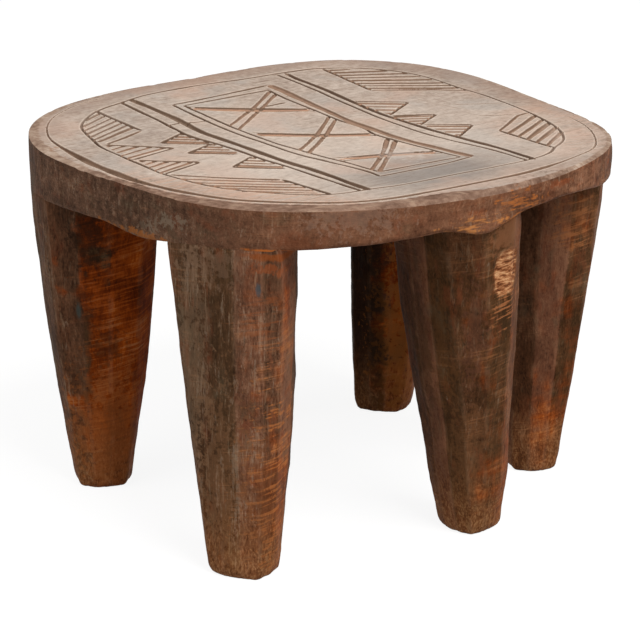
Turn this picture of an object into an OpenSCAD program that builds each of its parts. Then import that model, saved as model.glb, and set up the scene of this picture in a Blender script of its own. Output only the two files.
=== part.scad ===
// Carved wooden stool cut from a single log.
// A dished, rounded-square seat with incised geometric carving stands on six hewn legs.
// Millimetres, +Z up. The origin is on the floor under the middle of the seat.
// +X runs along the long side of the carved middle panel, +Y across it.

/* [Seat] */
// Height from the floor to the highest point of the rim
stool_height = 265; // [230:5:310]
// Size of the seat along the carved panel
seat_length = 376; // [350:2:410]
// Size of the seat across the carved panel
seat_width = 389; // [360:1:420]
// Thickness of the seat at the middle of its rim
seat_thickness = 28; // [24:1:36]
// How much thicker the seat is at its thick side than at its thin side
thickness_change = 25; // [10:1:28]
// How far the sitting face sinks along its middle
dish_depth = 7; // [4:0.5:10]
// Squareness of the seat outline, where 2 is an oval
squareness = 2.85; // [2.5:0.05:3.2]

/* [Rim] */
// Width of the worn slope round the top edge
bevel_width = 3.5; // [2:0.5:5]
// Extra width of that slope on the most worn side
bevel_wear = 5; // [2:0.5:7]
// Drop of the worn slope
bevel_drop = 3.5; // [2:0.5:5]
// Extra depth of the rim at its right corner
corner_swell = 14; // [6:1:17]
// Extra depth of the rim over the front right leg
leg_swell = 8; // [2:1:10]
// Extra depth of the rim left of the nearest leg
front_swell = 5; // [0:1:7]

/* [Legs] */
// Width of a foot, measured round the stool
foot_width = 44; // [38:1:50]
// Depth of a foot, measured towards the middle
foot_depth = 41; // [36:1:46]
// Width of a leg where it meets the seat
leg_top_width = 84; // [74:1:92]
// Depth of a leg where it meets the seat
leg_top_depth = 86; // [76:1:92]
// Outward swell of a leg at mid height
leg_belly = 3; // [0:0.5:5]

/* [Carving] */
// Depth of the incised lines below the sitting face
carving_depth = 2; // [1:0.25:3]
// Width of a fine incised line
fine_line = 2.4; // [1.8:0.2:3]
// Width of a bold incised line
bold_line = 4; // [3.4:0.2:5]
// Strokes that hatch each corner field
corner_strokes = 6; // [4:1:7]

/* [Hidden] */

seat_color = [0.66, 0.58, 0.51];
leg_color = [0.42, 0.27, 0.2];

// The plain rounded square that the uneven hand-cut outline is drawn from.
half_x = seat_length * 0.4755;
half_y = seat_width * 0.5136;
outline_centre = [-0.0188 * seat_length, -0.0043 * seat_width];
three_sided_lobe = 0.04;
long_lobe = 0.051;
outline_steps = 72;

// The underside slopes: the seat gets thinner towards this bearing.
thin_side = [cos(53), sin(53)];
// Places where the rim was left thicker: bearing, half width of the swell and depth.
swells = [[-79, 17, front_swell], [-5, 11, leg_swell], [46, 34, corner_swell]];
swell_start = 0.3;
underside_rings = [swell_start, 0.55, 0.8, 1];

// The sitting face sags in an arc along the panel, cut as a row of narrow flats.
dish_flats = 16;
dish_half = seat_length / 2;
dish_radius = (dish_half * dish_half + dish_depth * dish_depth) / (2 * dish_depth);

// Legs in order round the seat, each hewn a little differently.
// Bearing and distance from the middle, at the foot and at the top.
foot_bearing = [237.8, 302.2, 6.2, 59.1, 127.9, 175];
foot_reach = [176, 182, 136, 146, 141, 142];
top_bearing = [236.6, 299.5, 358, 60, 124.3, 175];
top_reach = [175, 185, 135, 155, 158, 150];
// Share of the common sizes that each leg takes.
foot_share = [0.95, 1.08, 0.94, 0.95, 1.02, 0.98];
top_width_share = [1.06, 1.07, 0.82, 0.95, 0.8, 0.93];
top_depth_share = [1.07, 1.02, 1.2, 0.92, 1.02, 0.93];
belly_share = [1.2, 0.9, 0, 1.1, 0.8, 1];
section_points = 12;
section_squareness = 3.2;
leg_levels = [0, 0.03, 0.25, 0.5, 0.75, 1];
foot_edge = 2.5;
head_collar = 4;

// The carving and the places of the legs stretch with the seat.
carve_x = seat_length / 376;
carve_y = seat_width / 389;
ring_centre = [-14.7, 4.5];
ring_half = [153.5, 158.5];
ring_squareness = 3;
ring_steps = 60;
cross_step = 78;
tooth_step = 40;
pair_gap = 8;

function rounded(a, hx, hy, n) =
    pow(pow(abs(cos(a)) / hx, n) + pow(abs(sin(a)) / hy, n), -1 / n);

function rim_radius(a) =
    rounded(a, half_x, half_y, squareness)
    * (1 + three_sided_lobe * cos(3 * a + 6.6) + long_lobe * cos(2 * a + 12.1));

function rim_point(a, inset = 0) =
    outline_centre + (rim_radius(a) - inset) * [cos(a), sin(a)];

function mix(a, b, t) = a + (b - a) * t;

// Height of the even slope that the underside follows.
function even_slope(p) =
    stool_height - seat_thickness + thickness_change / seat_width * (p * thin_side);

function turned(a) = a - 360 * round(a / 360);

// How far one swell hangs down at a bearing.
function swell_at(a, s) = s[2] * pow(cos(90 * min(1, abs(turned(a - s[0])) / s[1])), 2);

// Height of the underside at a point of the plan.
function underside(p) =
    let (
        d = p - outline_centre,
        a = atan2(d.y, d.x),
        out = min(1, max(0, (norm(d) / rim_radius(a) - swell_start) / (1 - swell_start))),
        hang = [for (s = swells) swell_at(a, s)]
    )
    even_slope(p) - out * out * (hang * [for (s = swells) 1]);

// Pulls a point back to the rim outline if it lies outside it.
function inside_rim(p) =
    let (d = p - outline_centre, r = rim_radius(atan2(d.y, d.x)))
    norm(d) > r ? outline_centre + d * (r / norm(d)) : p;

// Solid through a stack of closed rings that all have the same number of points.
module loft(rings) {
    n = len(rings[0]);
    top = len(rings) - 1;
    sides = [
        for (k = [0:top - 1], i = [0:n - 1])
            let (a = k * n + i, b = k * n + (i + 1) % n)
            each [[a, a + n, b + n], [a, b + n, b]]
    ];
    caps = [[for (i = [0:n - 1]) i], [for (i = [n - 1:-1:0]) top * n + i]];
    polyhedron(points = [for (ring = rings) each ring], faces = concat(caps, sides));
}

// Width of the worn slope at a bearing: widest on the front right side.
function slope_width(a) = bevel_width + bevel_wear * pow(max(0, cos(a + 25)), 3);

function bearings(n) = [for (i = [0:n - 1]) i * 360 / n];

// Ring on the underside, at a share of the way out to the rim.
function underside_ring(share) = [
    for (a = bearings(outline_steps))
        let (p = outline_centre + share * rim_radius(a) * [cos(a), sin(a)])
        [p.x, p.y, underside(p)]
];

function level_ring(share, inset, z) = [
    for (a = bearings(outline_steps))
        let (p = outline_centre + (share * rim_radius(a) - inset * slope_width(a)) * [cos(a), sin(a)])
        [p.x, p.y, z]
];

module seat_blank() {
    loft(concat(
        [for (share = underside_rings) underside_ring(share)],
        [level_ring(1, 0, stool_height - bevel_drop), level_ring(1, 1, stool_height)]
    ));
}

// Space above the underside, wider than the seat, that trims the heads of the legs.
module above_underside() {
    loft(concat(
        [for (share = concat(underside_rings, [1.15])) underside_ring(share)],
        [level_ring(1.15, 0, stool_height)]
    ));
}

// Height of the sitting face at a distance from its middle along the panel.
function face_height(x) = stool_height - dish_depth + x * x / (2 * dish_radius);

// Space above the sitting face, lowered by the depth of the carving where that is cut.
module dish(extra) {
    reach = dish_half + 8;
    flats = [for (i = [0:dish_flats]) mix(-reach, reach, i / dish_flats)];
    roof = stool_height + dish_depth;
    translate([0, seat_width, 0])
        rotate([90, 0, 0])
            linear_extrude(height = 2 * seat_width)
                polygon(concat(
                    [for (x = flats) [x, face_height(x) - extra]],
                    [[reach, roof], [-reach, roof]]
                ));
}

// One incised stroke from p to q.
module stroke(p, q, w) {
    side = [p.y - q.y, q.x - p.x] / norm(q - p) * w / 2;
    along = (q - p) / norm(q - p) * w / 2;
    polygon([p + side - along, p - side - along, q - side + along, q + side + along]);
}

module path(points, w) {
    for (i = [0:len(points) - 2])
        stroke(points[i], points[i + 1], w);
}

// A row of strokes that start along the line from a to b and all run the same way.
module hatching(a, b, way, count, w) {
    for (i = [1:count])
        let (p = mix(a, b, i / (count + 1)))
        stroke(p, p + way, w);
}

function ring_point(a, grow) =
    ring_centre
    + (rounded(a, ring_half.x, ring_half.y, ring_squareness) + grow) * [cos(a), sin(a)];

module ring_area(grow) {
    polygon([for (a = bearings(ring_steps)) ring_point(a, grow)]);
}

module inner_ring() {
    difference() {
        ring_area(fine_line / 2);
        ring_area(-fine_line / 2);
    }
}

// Bold groove that follows the rim round the front and right, nearer to it at its ends.
module rim_groove() {
    from = -134;
    to = 42;
    steps = 36;
    turns = [for (i = [0:steps]) mix(from, to, i / steps)];
    inset = [for (a = turns) 12 + 13 * cos(a + 30)];
    half = [for (a = turns) bold_line / 2 * (0.7 + 0.5 * max(0, cos(2 * (a + 105))))];
    polygon(concat(
        [for (i = [0:steps]) rim_point(turns[i], inset[i] - half[i])],
        [for (i = [steps:-1:0]) rim_point(turns[i], inset[i] + half[i])]
    ));
}

// Two double lines that cross the seat on either side of the panel.
module bands() {
    upper = [[-162, 70], [-110, 70], [-30, 64], [40, 65], [95, 67], [139, 62]];
    lower = [[-163, -72], [-94, -71], [-60, -73], [38, -70], [130, -74]];
    path(upper, bold_line);
    path([for (p = upper) p - [0, pair_gap]], fine_line);
    path(lower, bold_line);
    path([for (p = lower) p - [0, pair_gap + 2]], fine_line);
}

// Double-lined panel with three crosses, each of a fine pair and a bold pair.
module panel() {
    outer = [[-141, 39], [-30, 32], [103, 38], [105, -45], [-30, -54], [-136, -52]];
    inner = [[-131, 31], [-30, 27], [97, 30], [96, -38], [-30, -47], [-130, -46]];
    path(concat(outer, [outer[0]]), bold_line);
    path(concat(inner, [inner[0]]), fine_line);
    for (i = [0:2], shift = [0, pair_gap])
        let (middle = -92 + cross_step * i + shift) {
            stroke([middle - 34, 26], [middle + 24, -43], fine_line);
            stroke([middle + 20, 26], [middle - 32, -44], bold_line - 0.6);
        }
}

// A hatched tooth: left foot of the base, apex, right foot and the side its strokes follow.
module tooth(left, apex, right, side, count) {
    path([left, apex, right], fine_line);
    intersection() {
        polygon([left, apex, right]);
        hatching(left, right, 2 * (apex - side), count, fine_line + 1);
    }
}

module teeth() {
    for (i = [0:2])
        let (x = -71 + tooth_step * i) {
            tooth([x, 68], [x + 24, 99], [x + 44, 67], [x, 68], 2);
            tooth([x, -83], [x + 13, -111], [x + 36, -83], [x + 36, -83], 2);
        }
    for (x = [-77, -36])
        tooth([x, -150], [x + 33, -115], [x + 45, -152], [x + 45, -152], 3);
}

// Hatched field in a corner: its base line and strokes that run out to the ring.
module corner_field(a, b, way) {
    stroke(a, b, bold_line);
    stroke(b, b + way, bold_line);
    hatching(a, b, way, corner_strokes, fine_line);
}

module corner_fields() {
    intersection() {
        ring_area(0);
        union() {
            corner_field([-158, 103], [-89, 99], [60, 98]);
            corner_field([128, 95], [59, 101], [-45, 84]);
            corner_field([-153, -110], [-92, -108], [26, -62]);
            corner_field([124, -99], [69, -100], [-78, -70]);
            stroke([-26, 120], [14, 180], fine_line);
            stroke([13, 116], [34, 152], fine_line);
        }
    }
}

module carving() {
    intersection() {
        translate([0, 0, stool_height - dish_depth - 2 * carving_depth])
            linear_extrude(height = dish_depth + 4 * carving_depth)
                scale([carve_x, carve_y]) {
                    inner_ring();
                    rim_groove();
                    bands();
                    panel();
                    teeth();
                    corner_fields();
                }
        dish(carving_depth);
    }
}

module seat() {
    color(seat_color)
        difference() {
            seat_blank();
            dish(0);
            carving();
        }
}

function leg_section(bearing, reach, w, d) =
    let (
        away = [cos(bearing), sin(bearing)],
        along = [-away.y, away.x],
        middle = reach * [away.x * carve_x, away.y * carve_y]
    )
    [
        for (k = [0:section_points - 1])
            let (
                a = (k + 0.5) * 360 / section_points,
                r = rounded(a, d / 2, w / 2, section_squareness)
            )
            middle + away * r * cos(a) + along * r * sin(a)
    ];

module leg(i) {
    foot = leg_section(foot_bearing[i], foot_reach[i],
        foot_width * foot_share[i], foot_depth * foot_share[i]);
    top = leg_section(top_bearing[i], top_reach[i],
        leg_top_width * top_width_share[i], leg_top_depth * top_depth_share[i]);
    head = [for (p = top) inside_rim(p)];
    rings = [
        for (t = leg_levels)
            let (
                ring = [for (k = [0:section_points - 1]) mix(foot[k], head[k], t)],
                middle = (ring[0] + ring[section_points / 2]) / 2,
                swell = leg_belly * belly_share[i] * sin(180 * t) - (t == 0 ? foot_edge : 0)
            )
            [
                for (k = [0:section_points - 1])
                    let (
                        d = ring[k] - middle,
                        p = ring[k] + d / norm(d) * swell
                    )
                    [p.x, p.y, t * even_slope(head[k])]
            ]
    ];
    collar = [for (p = rings[len(rings) - 1]) p + [0, 0, head_collar]];
    color(leg_color)
        difference() {
            loft(concat(rings, [collar]));
            above_underside();
        }
}

seat();
leg(0);  // leg_1
leg(1);  // leg_2
leg(2);  // leg_3
leg(3);  // leg_4
leg(4);  // leg_5
leg(5);  // leg_6
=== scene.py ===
"""Visual model of a stool carved from one log.

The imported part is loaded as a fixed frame. A carved seat and six hewn legs stand for its plain
solids, in the same places, on a pale studio floor. Sizes are millimetres while a piece is being
shaped and metres once its mesh is finished.
"""

from __future__ import annotations

import logging
import math
from dataclasses import dataclass, fields
from enum import Enum
from typing import Union

import bpy
import numpy as np
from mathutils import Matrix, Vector, noise
from mathutils.geometry import delaunay_2d_cdt
from mathutils.kdtree import KDTree


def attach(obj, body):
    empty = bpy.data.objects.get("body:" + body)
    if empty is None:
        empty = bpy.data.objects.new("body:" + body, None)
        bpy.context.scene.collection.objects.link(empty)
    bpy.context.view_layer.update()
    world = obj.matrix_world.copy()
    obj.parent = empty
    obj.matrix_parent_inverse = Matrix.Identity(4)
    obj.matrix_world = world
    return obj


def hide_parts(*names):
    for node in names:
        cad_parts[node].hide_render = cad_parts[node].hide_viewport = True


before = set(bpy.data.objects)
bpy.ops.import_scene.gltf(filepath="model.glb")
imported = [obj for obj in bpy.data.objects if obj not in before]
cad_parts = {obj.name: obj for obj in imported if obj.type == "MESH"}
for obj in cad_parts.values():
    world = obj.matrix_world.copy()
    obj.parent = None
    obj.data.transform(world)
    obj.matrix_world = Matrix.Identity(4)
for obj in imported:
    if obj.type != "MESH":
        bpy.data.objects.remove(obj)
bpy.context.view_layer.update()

LOG = logging.getLogger("stool")
METRES = 0.001
DEGREE = math.pi / 180.0
CUT_LAYERS = 7
GUIDE_VALUES = ("half_width", "depth", "floor", "warmth")
LAYER_STEPS = (7.3, 3.1, 5.7)
CURVE_STEPS = 8
TINY = 1e-9
Point = tuple[float, float]
Triple = tuple[float, float, float]
Colour = tuple[int, int, int]


def paint(colour: Colour) -> tuple[float, float, float, float]:
    """Turn a colour as the eye sees it into the linear values that a shader takes.

    Args:
        colour: Red, green and blue, 0 to 255.

    Returns:
        Linear red, green, blue and an alpha of one.
    """
    shares = (value / 255.0 for value in colour)
    linear = (s / 12.92 if s <= 0.04045 else ((s + 0.055) / 1.055) ** 2.4 for s in shares)
    return (*linear, 1.0)


def titled(name: str) -> str:
    """Return the name of a group's socket for a name with underscores."""
    return name.replace("_", " ").title()


class Formula:
    """A number or vector on a node socket, so that a rule reads as a sum."""

    def __init__(self, bench: Bench, socket: bpy.types.NodeSocket) -> None:
        """Hold a socket of the bench's tree."""
        self.bench = bench
        self.socket = socket

    def __add__(self, other: Value) -> Formula:
        """Return the sum."""
        return self.bench.sum("ADD", self, other)

    def __radd__(self, other: Value) -> Formula:
        """Return the sum."""
        return self.bench.sum("ADD", other, self)

    def __sub__(self, other: Value) -> Formula:
        """Return the difference."""
        return self.bench.sum("SUBTRACT", self, other)

    def __rsub__(self, other: Value) -> Formula:
        """Return the difference."""
        return self.bench.sum("SUBTRACT", other, self)

    def __mul__(self, other: Value) -> Formula:
        """Return the product."""
        return self.bench.sum("MULTIPLY", self, other)

    def __truediv__(self, other: Value) -> Formula:
        """Return the quotient."""
        return self.bench.sum("DIVIDE", self, other)


Value = Union[Formula, float, int, tuple]


class Bench:
    """Adds nodes to one tree and joins them."""

    def __init__(self, tree: bpy.types.NodeTree) -> None:
        """Hold the tree that the nodes go into."""
        self.tree = tree

    def add(self, kind: str, inputs: dict | None = None, **settings: object) -> bpy.types.Node:
        """Add a node.

        Args:
            kind: Blender's name of the node type.
            inputs: Value of each input, by its name or number.
            settings: Properties of the node.

        Returns:
            The node.
        """
        node = self.tree.nodes.new(kind)
        for name, value in settings.items():
            setattr(node, name, value)
        for name, value in (inputs or {}).items():
            self.put(node.inputs[name], value)
        return node

    def get(self, kind: str, inputs: dict | None = None, output: str | int = 0,
            **settings: object) -> Formula:
        """Add a node and read one of its outputs.

        Args:
            kind: Blender's name of the node type.
            inputs: Value of each input, by its name or number.
            output: Name or number of the output.
            settings: Properties of the node.

        Returns:
            The output.
        """
        return Formula(self, self.add(kind, inputs, **settings).outputs[output])

    def put(self, slot: bpy.types.NodeSocket, value: object) -> None:
        """Join a formula to a slot, or set the slot's own value.

        Args:
            slot: The input.
            value: The formula or value. None leaves the slot as it is.
        """
        if isinstance(value, Formula):
            self.tree.links.new(value.socket, slot)
        elif value is not None:
            slot.default_value = value

    def sum(self, operation: str, *values: Value) -> Formula:
        """Return what a sum, such as MULTIPLY, makes of numbers."""
        return self.get("ShaderNodeMath", dict(enumerate(values)), operation=operation)

    def vector(self, operation: str, *values: Value, output: str = "Vector") -> Formula:
        """Work out a vector, or a vector's length, from others.

        Args:
            operation: Name of the vector sum, such as MULTIPLY.
            values: What it works on.
            output: Name of the output to hand back.

        Returns:
            The result.
        """
        inputs = dict(enumerate(values))
        if operation == "SCALE":
            inputs["Scale"] = inputs.pop(1)
        return self.get("ShaderNodeVectorMath", inputs, output, operation=operation)

    def combine(self, *parts: Value) -> Formula:
        """Return the vector of three numbers."""
        return self.get("ShaderNodeCombineXYZ", dict(enumerate(parts)))

    def separate(self, vector: Formula) -> tuple[Formula, ...]:
        """Return the three numbers of a vector."""
        node = self.add("ShaderNodeSeparateXYZ", {0: vector})
        return tuple(Formula(self, output) for output in node.outputs)

    def sine(self, angle: Value) -> Formula:
        """Return the sine."""
        return self.sum("SINE", angle)

    def cosine(self, angle: Value) -> Formula:
        """Return the cosine."""
        return self.sum("COSINE", angle)

    def power(self, base: Value, exponent: Value) -> Formula:
        """Return the base to the exponent."""
        return self.sum("POWER", base, exponent)

    def size(self, value: Value) -> Formula:
        """Return the number without its sign."""
        return self.sum("ABSOLUTE", value)

    def lesser(self, first: Value, second: Value) -> Formula:
        """Return the smaller of two numbers."""
        return self.sum("MINIMUM", first, second)

    def greater(self, first: Value, second: Value) -> Formula:
        """Return the larger of two numbers."""
        return self.sum("MAXIMUM", first, second)

    def blend(self, first: Value, second: Value, share: Value) -> Formula:
        """Return the number that lies the given share of the way from first to second."""
        return self.sum("MULTIPLY_ADD", self.sum("SUBTRACT", second, first), share, first)

    def ease(self, value: Value, low: Value, high: Value) -> Formula:
        """Return a smooth step from nought at low to one at high."""
        return self.get("ShaderNodeMapRange", {"Value": value, "From Min": low, "From Max": high},
                        "Result", interpolation_type="SMOOTHSTEP")

    def cloud(self, place: Value, scale: float = 1.0, detail: float = 2.0,
              roughness: float = 0.5, distortion: float = 0.0) -> Formula:
        """Return soft noise, about a half on average.

        Args:
            place: Where the noise is read.
            scale: How many lumps fit in one unit.
            detail: Octaves of finer noise.
            roughness: Strength of the finer noise.
            distortion: How far the lumps are dragged about.

        Returns:
            The noise.
        """
        return self.get("ShaderNodeTexNoise", {
            "Vector": place, "Scale": scale, "Detail": detail, "Roughness": roughness,
            "Distortion": distortion}, noise_dimensions="3D")

    def streak(self, place: Value, scales: Triple, *texture: float) -> Formula:
        """Return soft noise with its own scale along each axis; texture is as in cloud."""
        return self.cloud(self.vector("MULTIPLY", place, scales), 1.0, *texture)

    def tint(self, first: Value, second: Value, share: Value) -> Formula:
        """Mix two colours.

        Args:
            first: Colour at a share of nought.
            second: Colour at a share of one.
            share: How much of the second there is.

        Returns:
            The mixed colour.
        """
        first, second = (paint(c) if isinstance(c, tuple) else c for c in (first, second))
        return self.get("ShaderNodeMix", {0: share, 6: first, 7: second}, 2, data_type="RGBA")

    def coat(self, colour: Value, *coats: tuple[Colour, Value]) -> Formula:
        """Lay coats over a colour in turn.

        Args:
            colour: The colour so far.
            coats: Colour and share of each coat.

        Returns:
            The colour with its coats.
        """
        for above, share in coats:
            colour = self.tint(colour, above, share)
        return colour

    def ladder(self, share: Value, *steps: tuple[float, Colour]) -> Formula:
        """Return the colour at a share of a row of colours.

        Args:
            share: Where on the row, nought to one.
            steps: Place and colour of each step.

        Returns:
            The colour.
        """
        node = self.add("ShaderNodeValToRGB", {0: share})
        ramp = node.color_ramp
        while len(ramp.elements) < len(steps):
            ramp.elements.new(0.5)
        for element, (place, colour) in zip(ramp.elements, steps):
            element.position = place
            element.color = paint(colour)
        return Formula(self, node.outputs[0])

    def use(self, group: bpy.types.NodeTree, **values: Value) -> dict[str, Formula]:
        """Put a group into the tree.

        Args:
            group: The group.
            values: Value of each input, by its name with underscores.

        Returns:
            The group's outputs by name.
        """
        kind = "Geometry" if self.tree.bl_idname == "GeometryNodeTree" else "Shader"
        node = self.add(f"{kind}NodeGroup", node_tree=group)
        for name, value in values.items():
            self.put(node.inputs[titled(name)], value)
        return {output.name: Formula(self, output) for output in node.outputs}


class Socket(Enum):
    """Kinds of named input and output."""

    NUMBER = "NodeSocketFloat"
    VECTOR = "NodeSocketVector"
    COLOUR = "NodeSocketColor"
    SHAPE = "NodeSocketGeometry"
    PIECE = "NodeSocketObject"
    FINISH = "NodeSocketMaterial"


class Group(Bench):
    """A node group with named inputs and outputs."""

    kind = "ShaderNodeTree"

    def __init__(self, name: str, inputs: dict[str, object], outputs: dict[str, Socket]) -> None:
        """Make the group and its sockets.

        Args:
            name: Name of the group.
            inputs: Usual value of each input, or the kind of one that has none.
            outputs: Kind of each output.
        """
        super().__init__(bpy.data.node_groups.new(name, self.kind))
        for title, usual in inputs.items():
            plain = isinstance(usual, Socket)
            socket = usual if plain else (
                Socket.VECTOR if isinstance(usual, tuple) else Socket.NUMBER)
            item = self.tree.interface.new_socket(
                name=title, in_out="INPUT", socket_type=socket.value)
            if not plain:
                item.default_value = usual
        for title, socket in outputs.items():
            self.tree.interface.new_socket(name=title, in_out="OUTPUT", socket_type=socket.value)
        self.source = self.add("NodeGroupInput")
        self.sink = self.add("NodeGroupOutput")

    def given(self, name: str) -> Formula:
        """Return the named input."""
        return Formula(self, self.source.outputs[name])

    def give(self, **values: Formula) -> bpy.types.NodeTree:
        """Join formulas to the outputs.

        Args:
            values: Formula of each, by its name with underscores.

        Returns:
            The group.
        """
        for name, value in values.items():
            self.put(self.sink.inputs[titled(name)], value)
        return self.tree


class ShapeTree(Group):
    """A geometry tree that shapes a piece in millimetres."""

    kind = "GeometryNodeTree"

    def stored(self, name: str) -> Formula:
        """Return the number stored on the points under a name."""
        return self.get("GeometryNodeInputNamedAttribute", {"Name": name}, data_type="FLOAT")

    def keep(self, shape: Formula, **values: Value) -> Formula:
        """Store numbers on the points of a shape.

        Args:
            shape: The shape.
            values: The numbers by name.

        Returns:
            The shape with its numbers.
        """
        for name, value in values.items():
            shape = self.get("GeometryNodeStoreNamedAttribute",
                             {"Geometry": shape, "Name": name, "Value": value},
                             data_type="FLOAT", domain="POINT")
        return shape

    def finish(self, shape: Formula, **where: Formula) -> None:
        """Move the points, turn millimetres to metres, realise instances and set the finish.

        Args:
            shape: The shape.
            where: Position or offset of its points.
        """
        moved = self.get("GeometryNodeSetPosition",
                         {"Geometry": shape, **{titled(k): v for k, v in where.items()}})
        scaled = self.get("GeometryNodeTransform", {"Geometry": moved, "Scale": (METRES,) * 3})
        real = self.get("GeometryNodeRealizeInstances", {0: scaled})
        self.put(self.sink.inputs[0], self.get(
            "GeometryNodeSetMaterial", {"Geometry": real, "Material": self.given("Finish")}))


def wrapped(angle: np.ndarray) -> np.ndarray:
    """Return an angle, in radians, between minus and plus half a turn."""
    return (angle + math.pi) % math.tau - math.pi


def rounded(angle: np.ndarray, half_x: float, half_y: float, squareness: float) -> np.ndarray:
    """Return the radius of a rounded rectangle at an angle."""
    return (np.abs(np.cos(angle) / half_x) ** squareness
            + np.abs(np.sin(angle) / half_y) ** squareness) ** (-1 / squareness)


@dataclass(frozen=True)
class StoolForm:
    """Shared sizes of the seat: its uneven outline, sagging face and sloping underside.

    A lobe has its number of bulges, its strength and its turn in degrees. A swell of the
    underside has its bearing and half width in degrees, and its depth.
    """

    height: float = 265.0
    length: float = 376.0
    width: float = 389.0
    middle_shares: Point = (-0.0188, -0.0043)
    half_shares: Point = (0.4755, 0.5136)
    thickness: float = 28.0
    thickness_change: float = 25.0
    thin_side: float = 53.0
    dish_depth: float = 7.0
    squareness: float = 2.85
    lobes: tuple[Triple, ...] = ((3.0, 0.04, 6.6), (2.0, 0.051, 12.1))
    swells: tuple[Triple, ...] = ((-79, 17, 5), (-5, 11, 8), (46, 34, 14))
    swell_start: float = 0.3

    @property
    def centre(self) -> np.ndarray:
        """Middle of the outline."""
        return np.array((self.middle_shares[0] * self.length, self.middle_shares[1] * self.width))

    @property
    def half(self) -> Point:
        """Half sizes of the plain rounded square behind the outline."""
        return (self.half_shares[0] * self.length, self.half_shares[1] * self.width)

    @property
    def dish_radius(self) -> float:
        """Radius of the arc in which the face sags."""
        half = self.length / 2
        return (half**2 + self.dish_depth**2) / (2 * self.dish_depth)

    def polar(self, plan: np.ndarray) -> tuple[np.ndarray, np.ndarray]:
        """Return the bearing and distance of points of the plan from the outline's middle."""
        offset = plan[..., :2] - self.centre
        return np.arctan2(offset[..., 1], offset[..., 0]), np.hypot(offset[..., 0], offset[..., 1])

    def reach(self, angle: np.ndarray) -> np.ndarray:
        """Find how far the rim is from the middle of the outline.

        Args:
            angle: The bearing.

        Returns:
            The distance.
        """
        lobed = sum((share * np.cos(bulges * angle + math.radians(turn))
                     for bulges, share, turn in self.lobes), 1)
        return rounded(angle, *self.half, self.squareness) * lobed

    def rim(self, angle: np.ndarray, inset: np.ndarray | float = 0.0) -> np.ndarray:
        """Return points of the outline, moved inwards by the inset."""
        away = self.reach(angle) - inset
        return self.centre + np.stack((away * np.cos(angle), away * np.sin(angle)), -1)

    def face(self, plan: np.ndarray) -> np.ndarray:
        """Return the height of the sitting face over points of the plan."""
        sag = self.height - self.dish_depth + plan[..., 0] ** 2 / (2 * self.dish_radius)
        return np.minimum(self.height, sag)

    def underside(self, plan: np.ndarray) -> np.ndarray:
        """Find the height of the underside.

        Args:
            plan: Points of the plan.

        Returns:
            The height over each.
        """
        thin = math.radians(self.thin_side)
        across = plan[..., 0] * math.cos(thin) + plan[..., 1] * math.sin(thin)
        around, distance = self.polar(plan)
        out = distance / self.reach(around)
        out = np.clip((out - self.swell_start) / (1 - self.swell_start), 0, 1)
        hang = sum(depth * np.cos(math.pi / 2 * np.minimum(
            1, np.abs(wrapped(around - math.radians(at))) / math.radians(half))) ** 2
            for at, half, depth in self.swells)
        return (self.height - self.thickness + self.thickness_change / self.width * across
                - out**2 * hang)


def roughen(points: np.ndarray, size: float, seed: float) -> np.ndarray:
    """Read soft noise, from about minus one to one, at points.

    Args:
        points: Points in millimetres, three numbers each.
        size: Size of a lump in millimetres.
        seed: Moves the noise, so that two layers differ.

    Returns:
        One number for each point.
    """
    shift = Vector([seed * step for step in LAYER_STEPS])
    return np.array([noise.noise(Vector(p) / size + shift) for p in points.tolist()])


def eased(value: np.ndarray, low: float, high: float) -> np.ndarray:
    """Return a smooth step from nought at low to one at high."""
    share = np.clip((value - low) / (high - low), 0, 1)
    return share * share * (3 - 2 * share)


def ways(walk: np.ndarray) -> tuple[np.ndarray, np.ndarray]:
    """Find which way a walk of points goes.

    Args:
        walk: The points, in order.

    Returns:
        Unit vectors along the walk, and to its left.
    """
    along = np.gradient(walk, axis=0)
    along /= np.maximum(np.linalg.norm(along, axis=1, keepdims=True), TINY)
    return along, np.stack((-along[:, 1], along[:, 0]), -1)


@dataclass(frozen=True)
class BladeCut:
    """What a blade leaves: width and depth, flat share and warmth of the floor, run-out."""

    width: float
    depth: float
    flat: float
    run_out: float
    warmth: float


class Blade(Enum):
    """Blades, by the cuts that they leave."""

    FINE = BladeCut(3.6, 1.8, 0.15, 3.0, 0.1)
    RING = BladeCut(3.1, 1.6, 0.15, 6.0, 0.1)
    BOLD = BladeCut(6.4, 2.3, 0.5, 5.0, 0.1)
    RIM = BladeCut(7.0, 2.6, 0.45, 16.0, 0.3)
    TRENCH = BladeCut(4.5, 1.4, 0.72, 3.0, 0.35)
    SHALLOW = BladeCut(5.6, 0.7, 0.78, 5.0, 0.9)
    STROKE = BladeCut(4.2, 1.5, 0.4, 2.5, 0.3)
    TOOTH = BladeCut(3.7, 1.1, 0.4, 2.0, 0.6)
    LIGHT = BladeCut(2.4, 1.1, 0.1, 10.0, 0.0)


@dataclass(frozen=True)
class Hand:
    """How a hand strays: strength and length, in millimetres, of each slow change of a cut."""

    wander: Point = (0.32, 16.0)
    width: Point = (0.3, 22.0)
    depth: Point = (0.25, 14.0)
    ring_wander: float = 0.7
    widest_way: float = 53.0


HAND = Hand()


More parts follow.
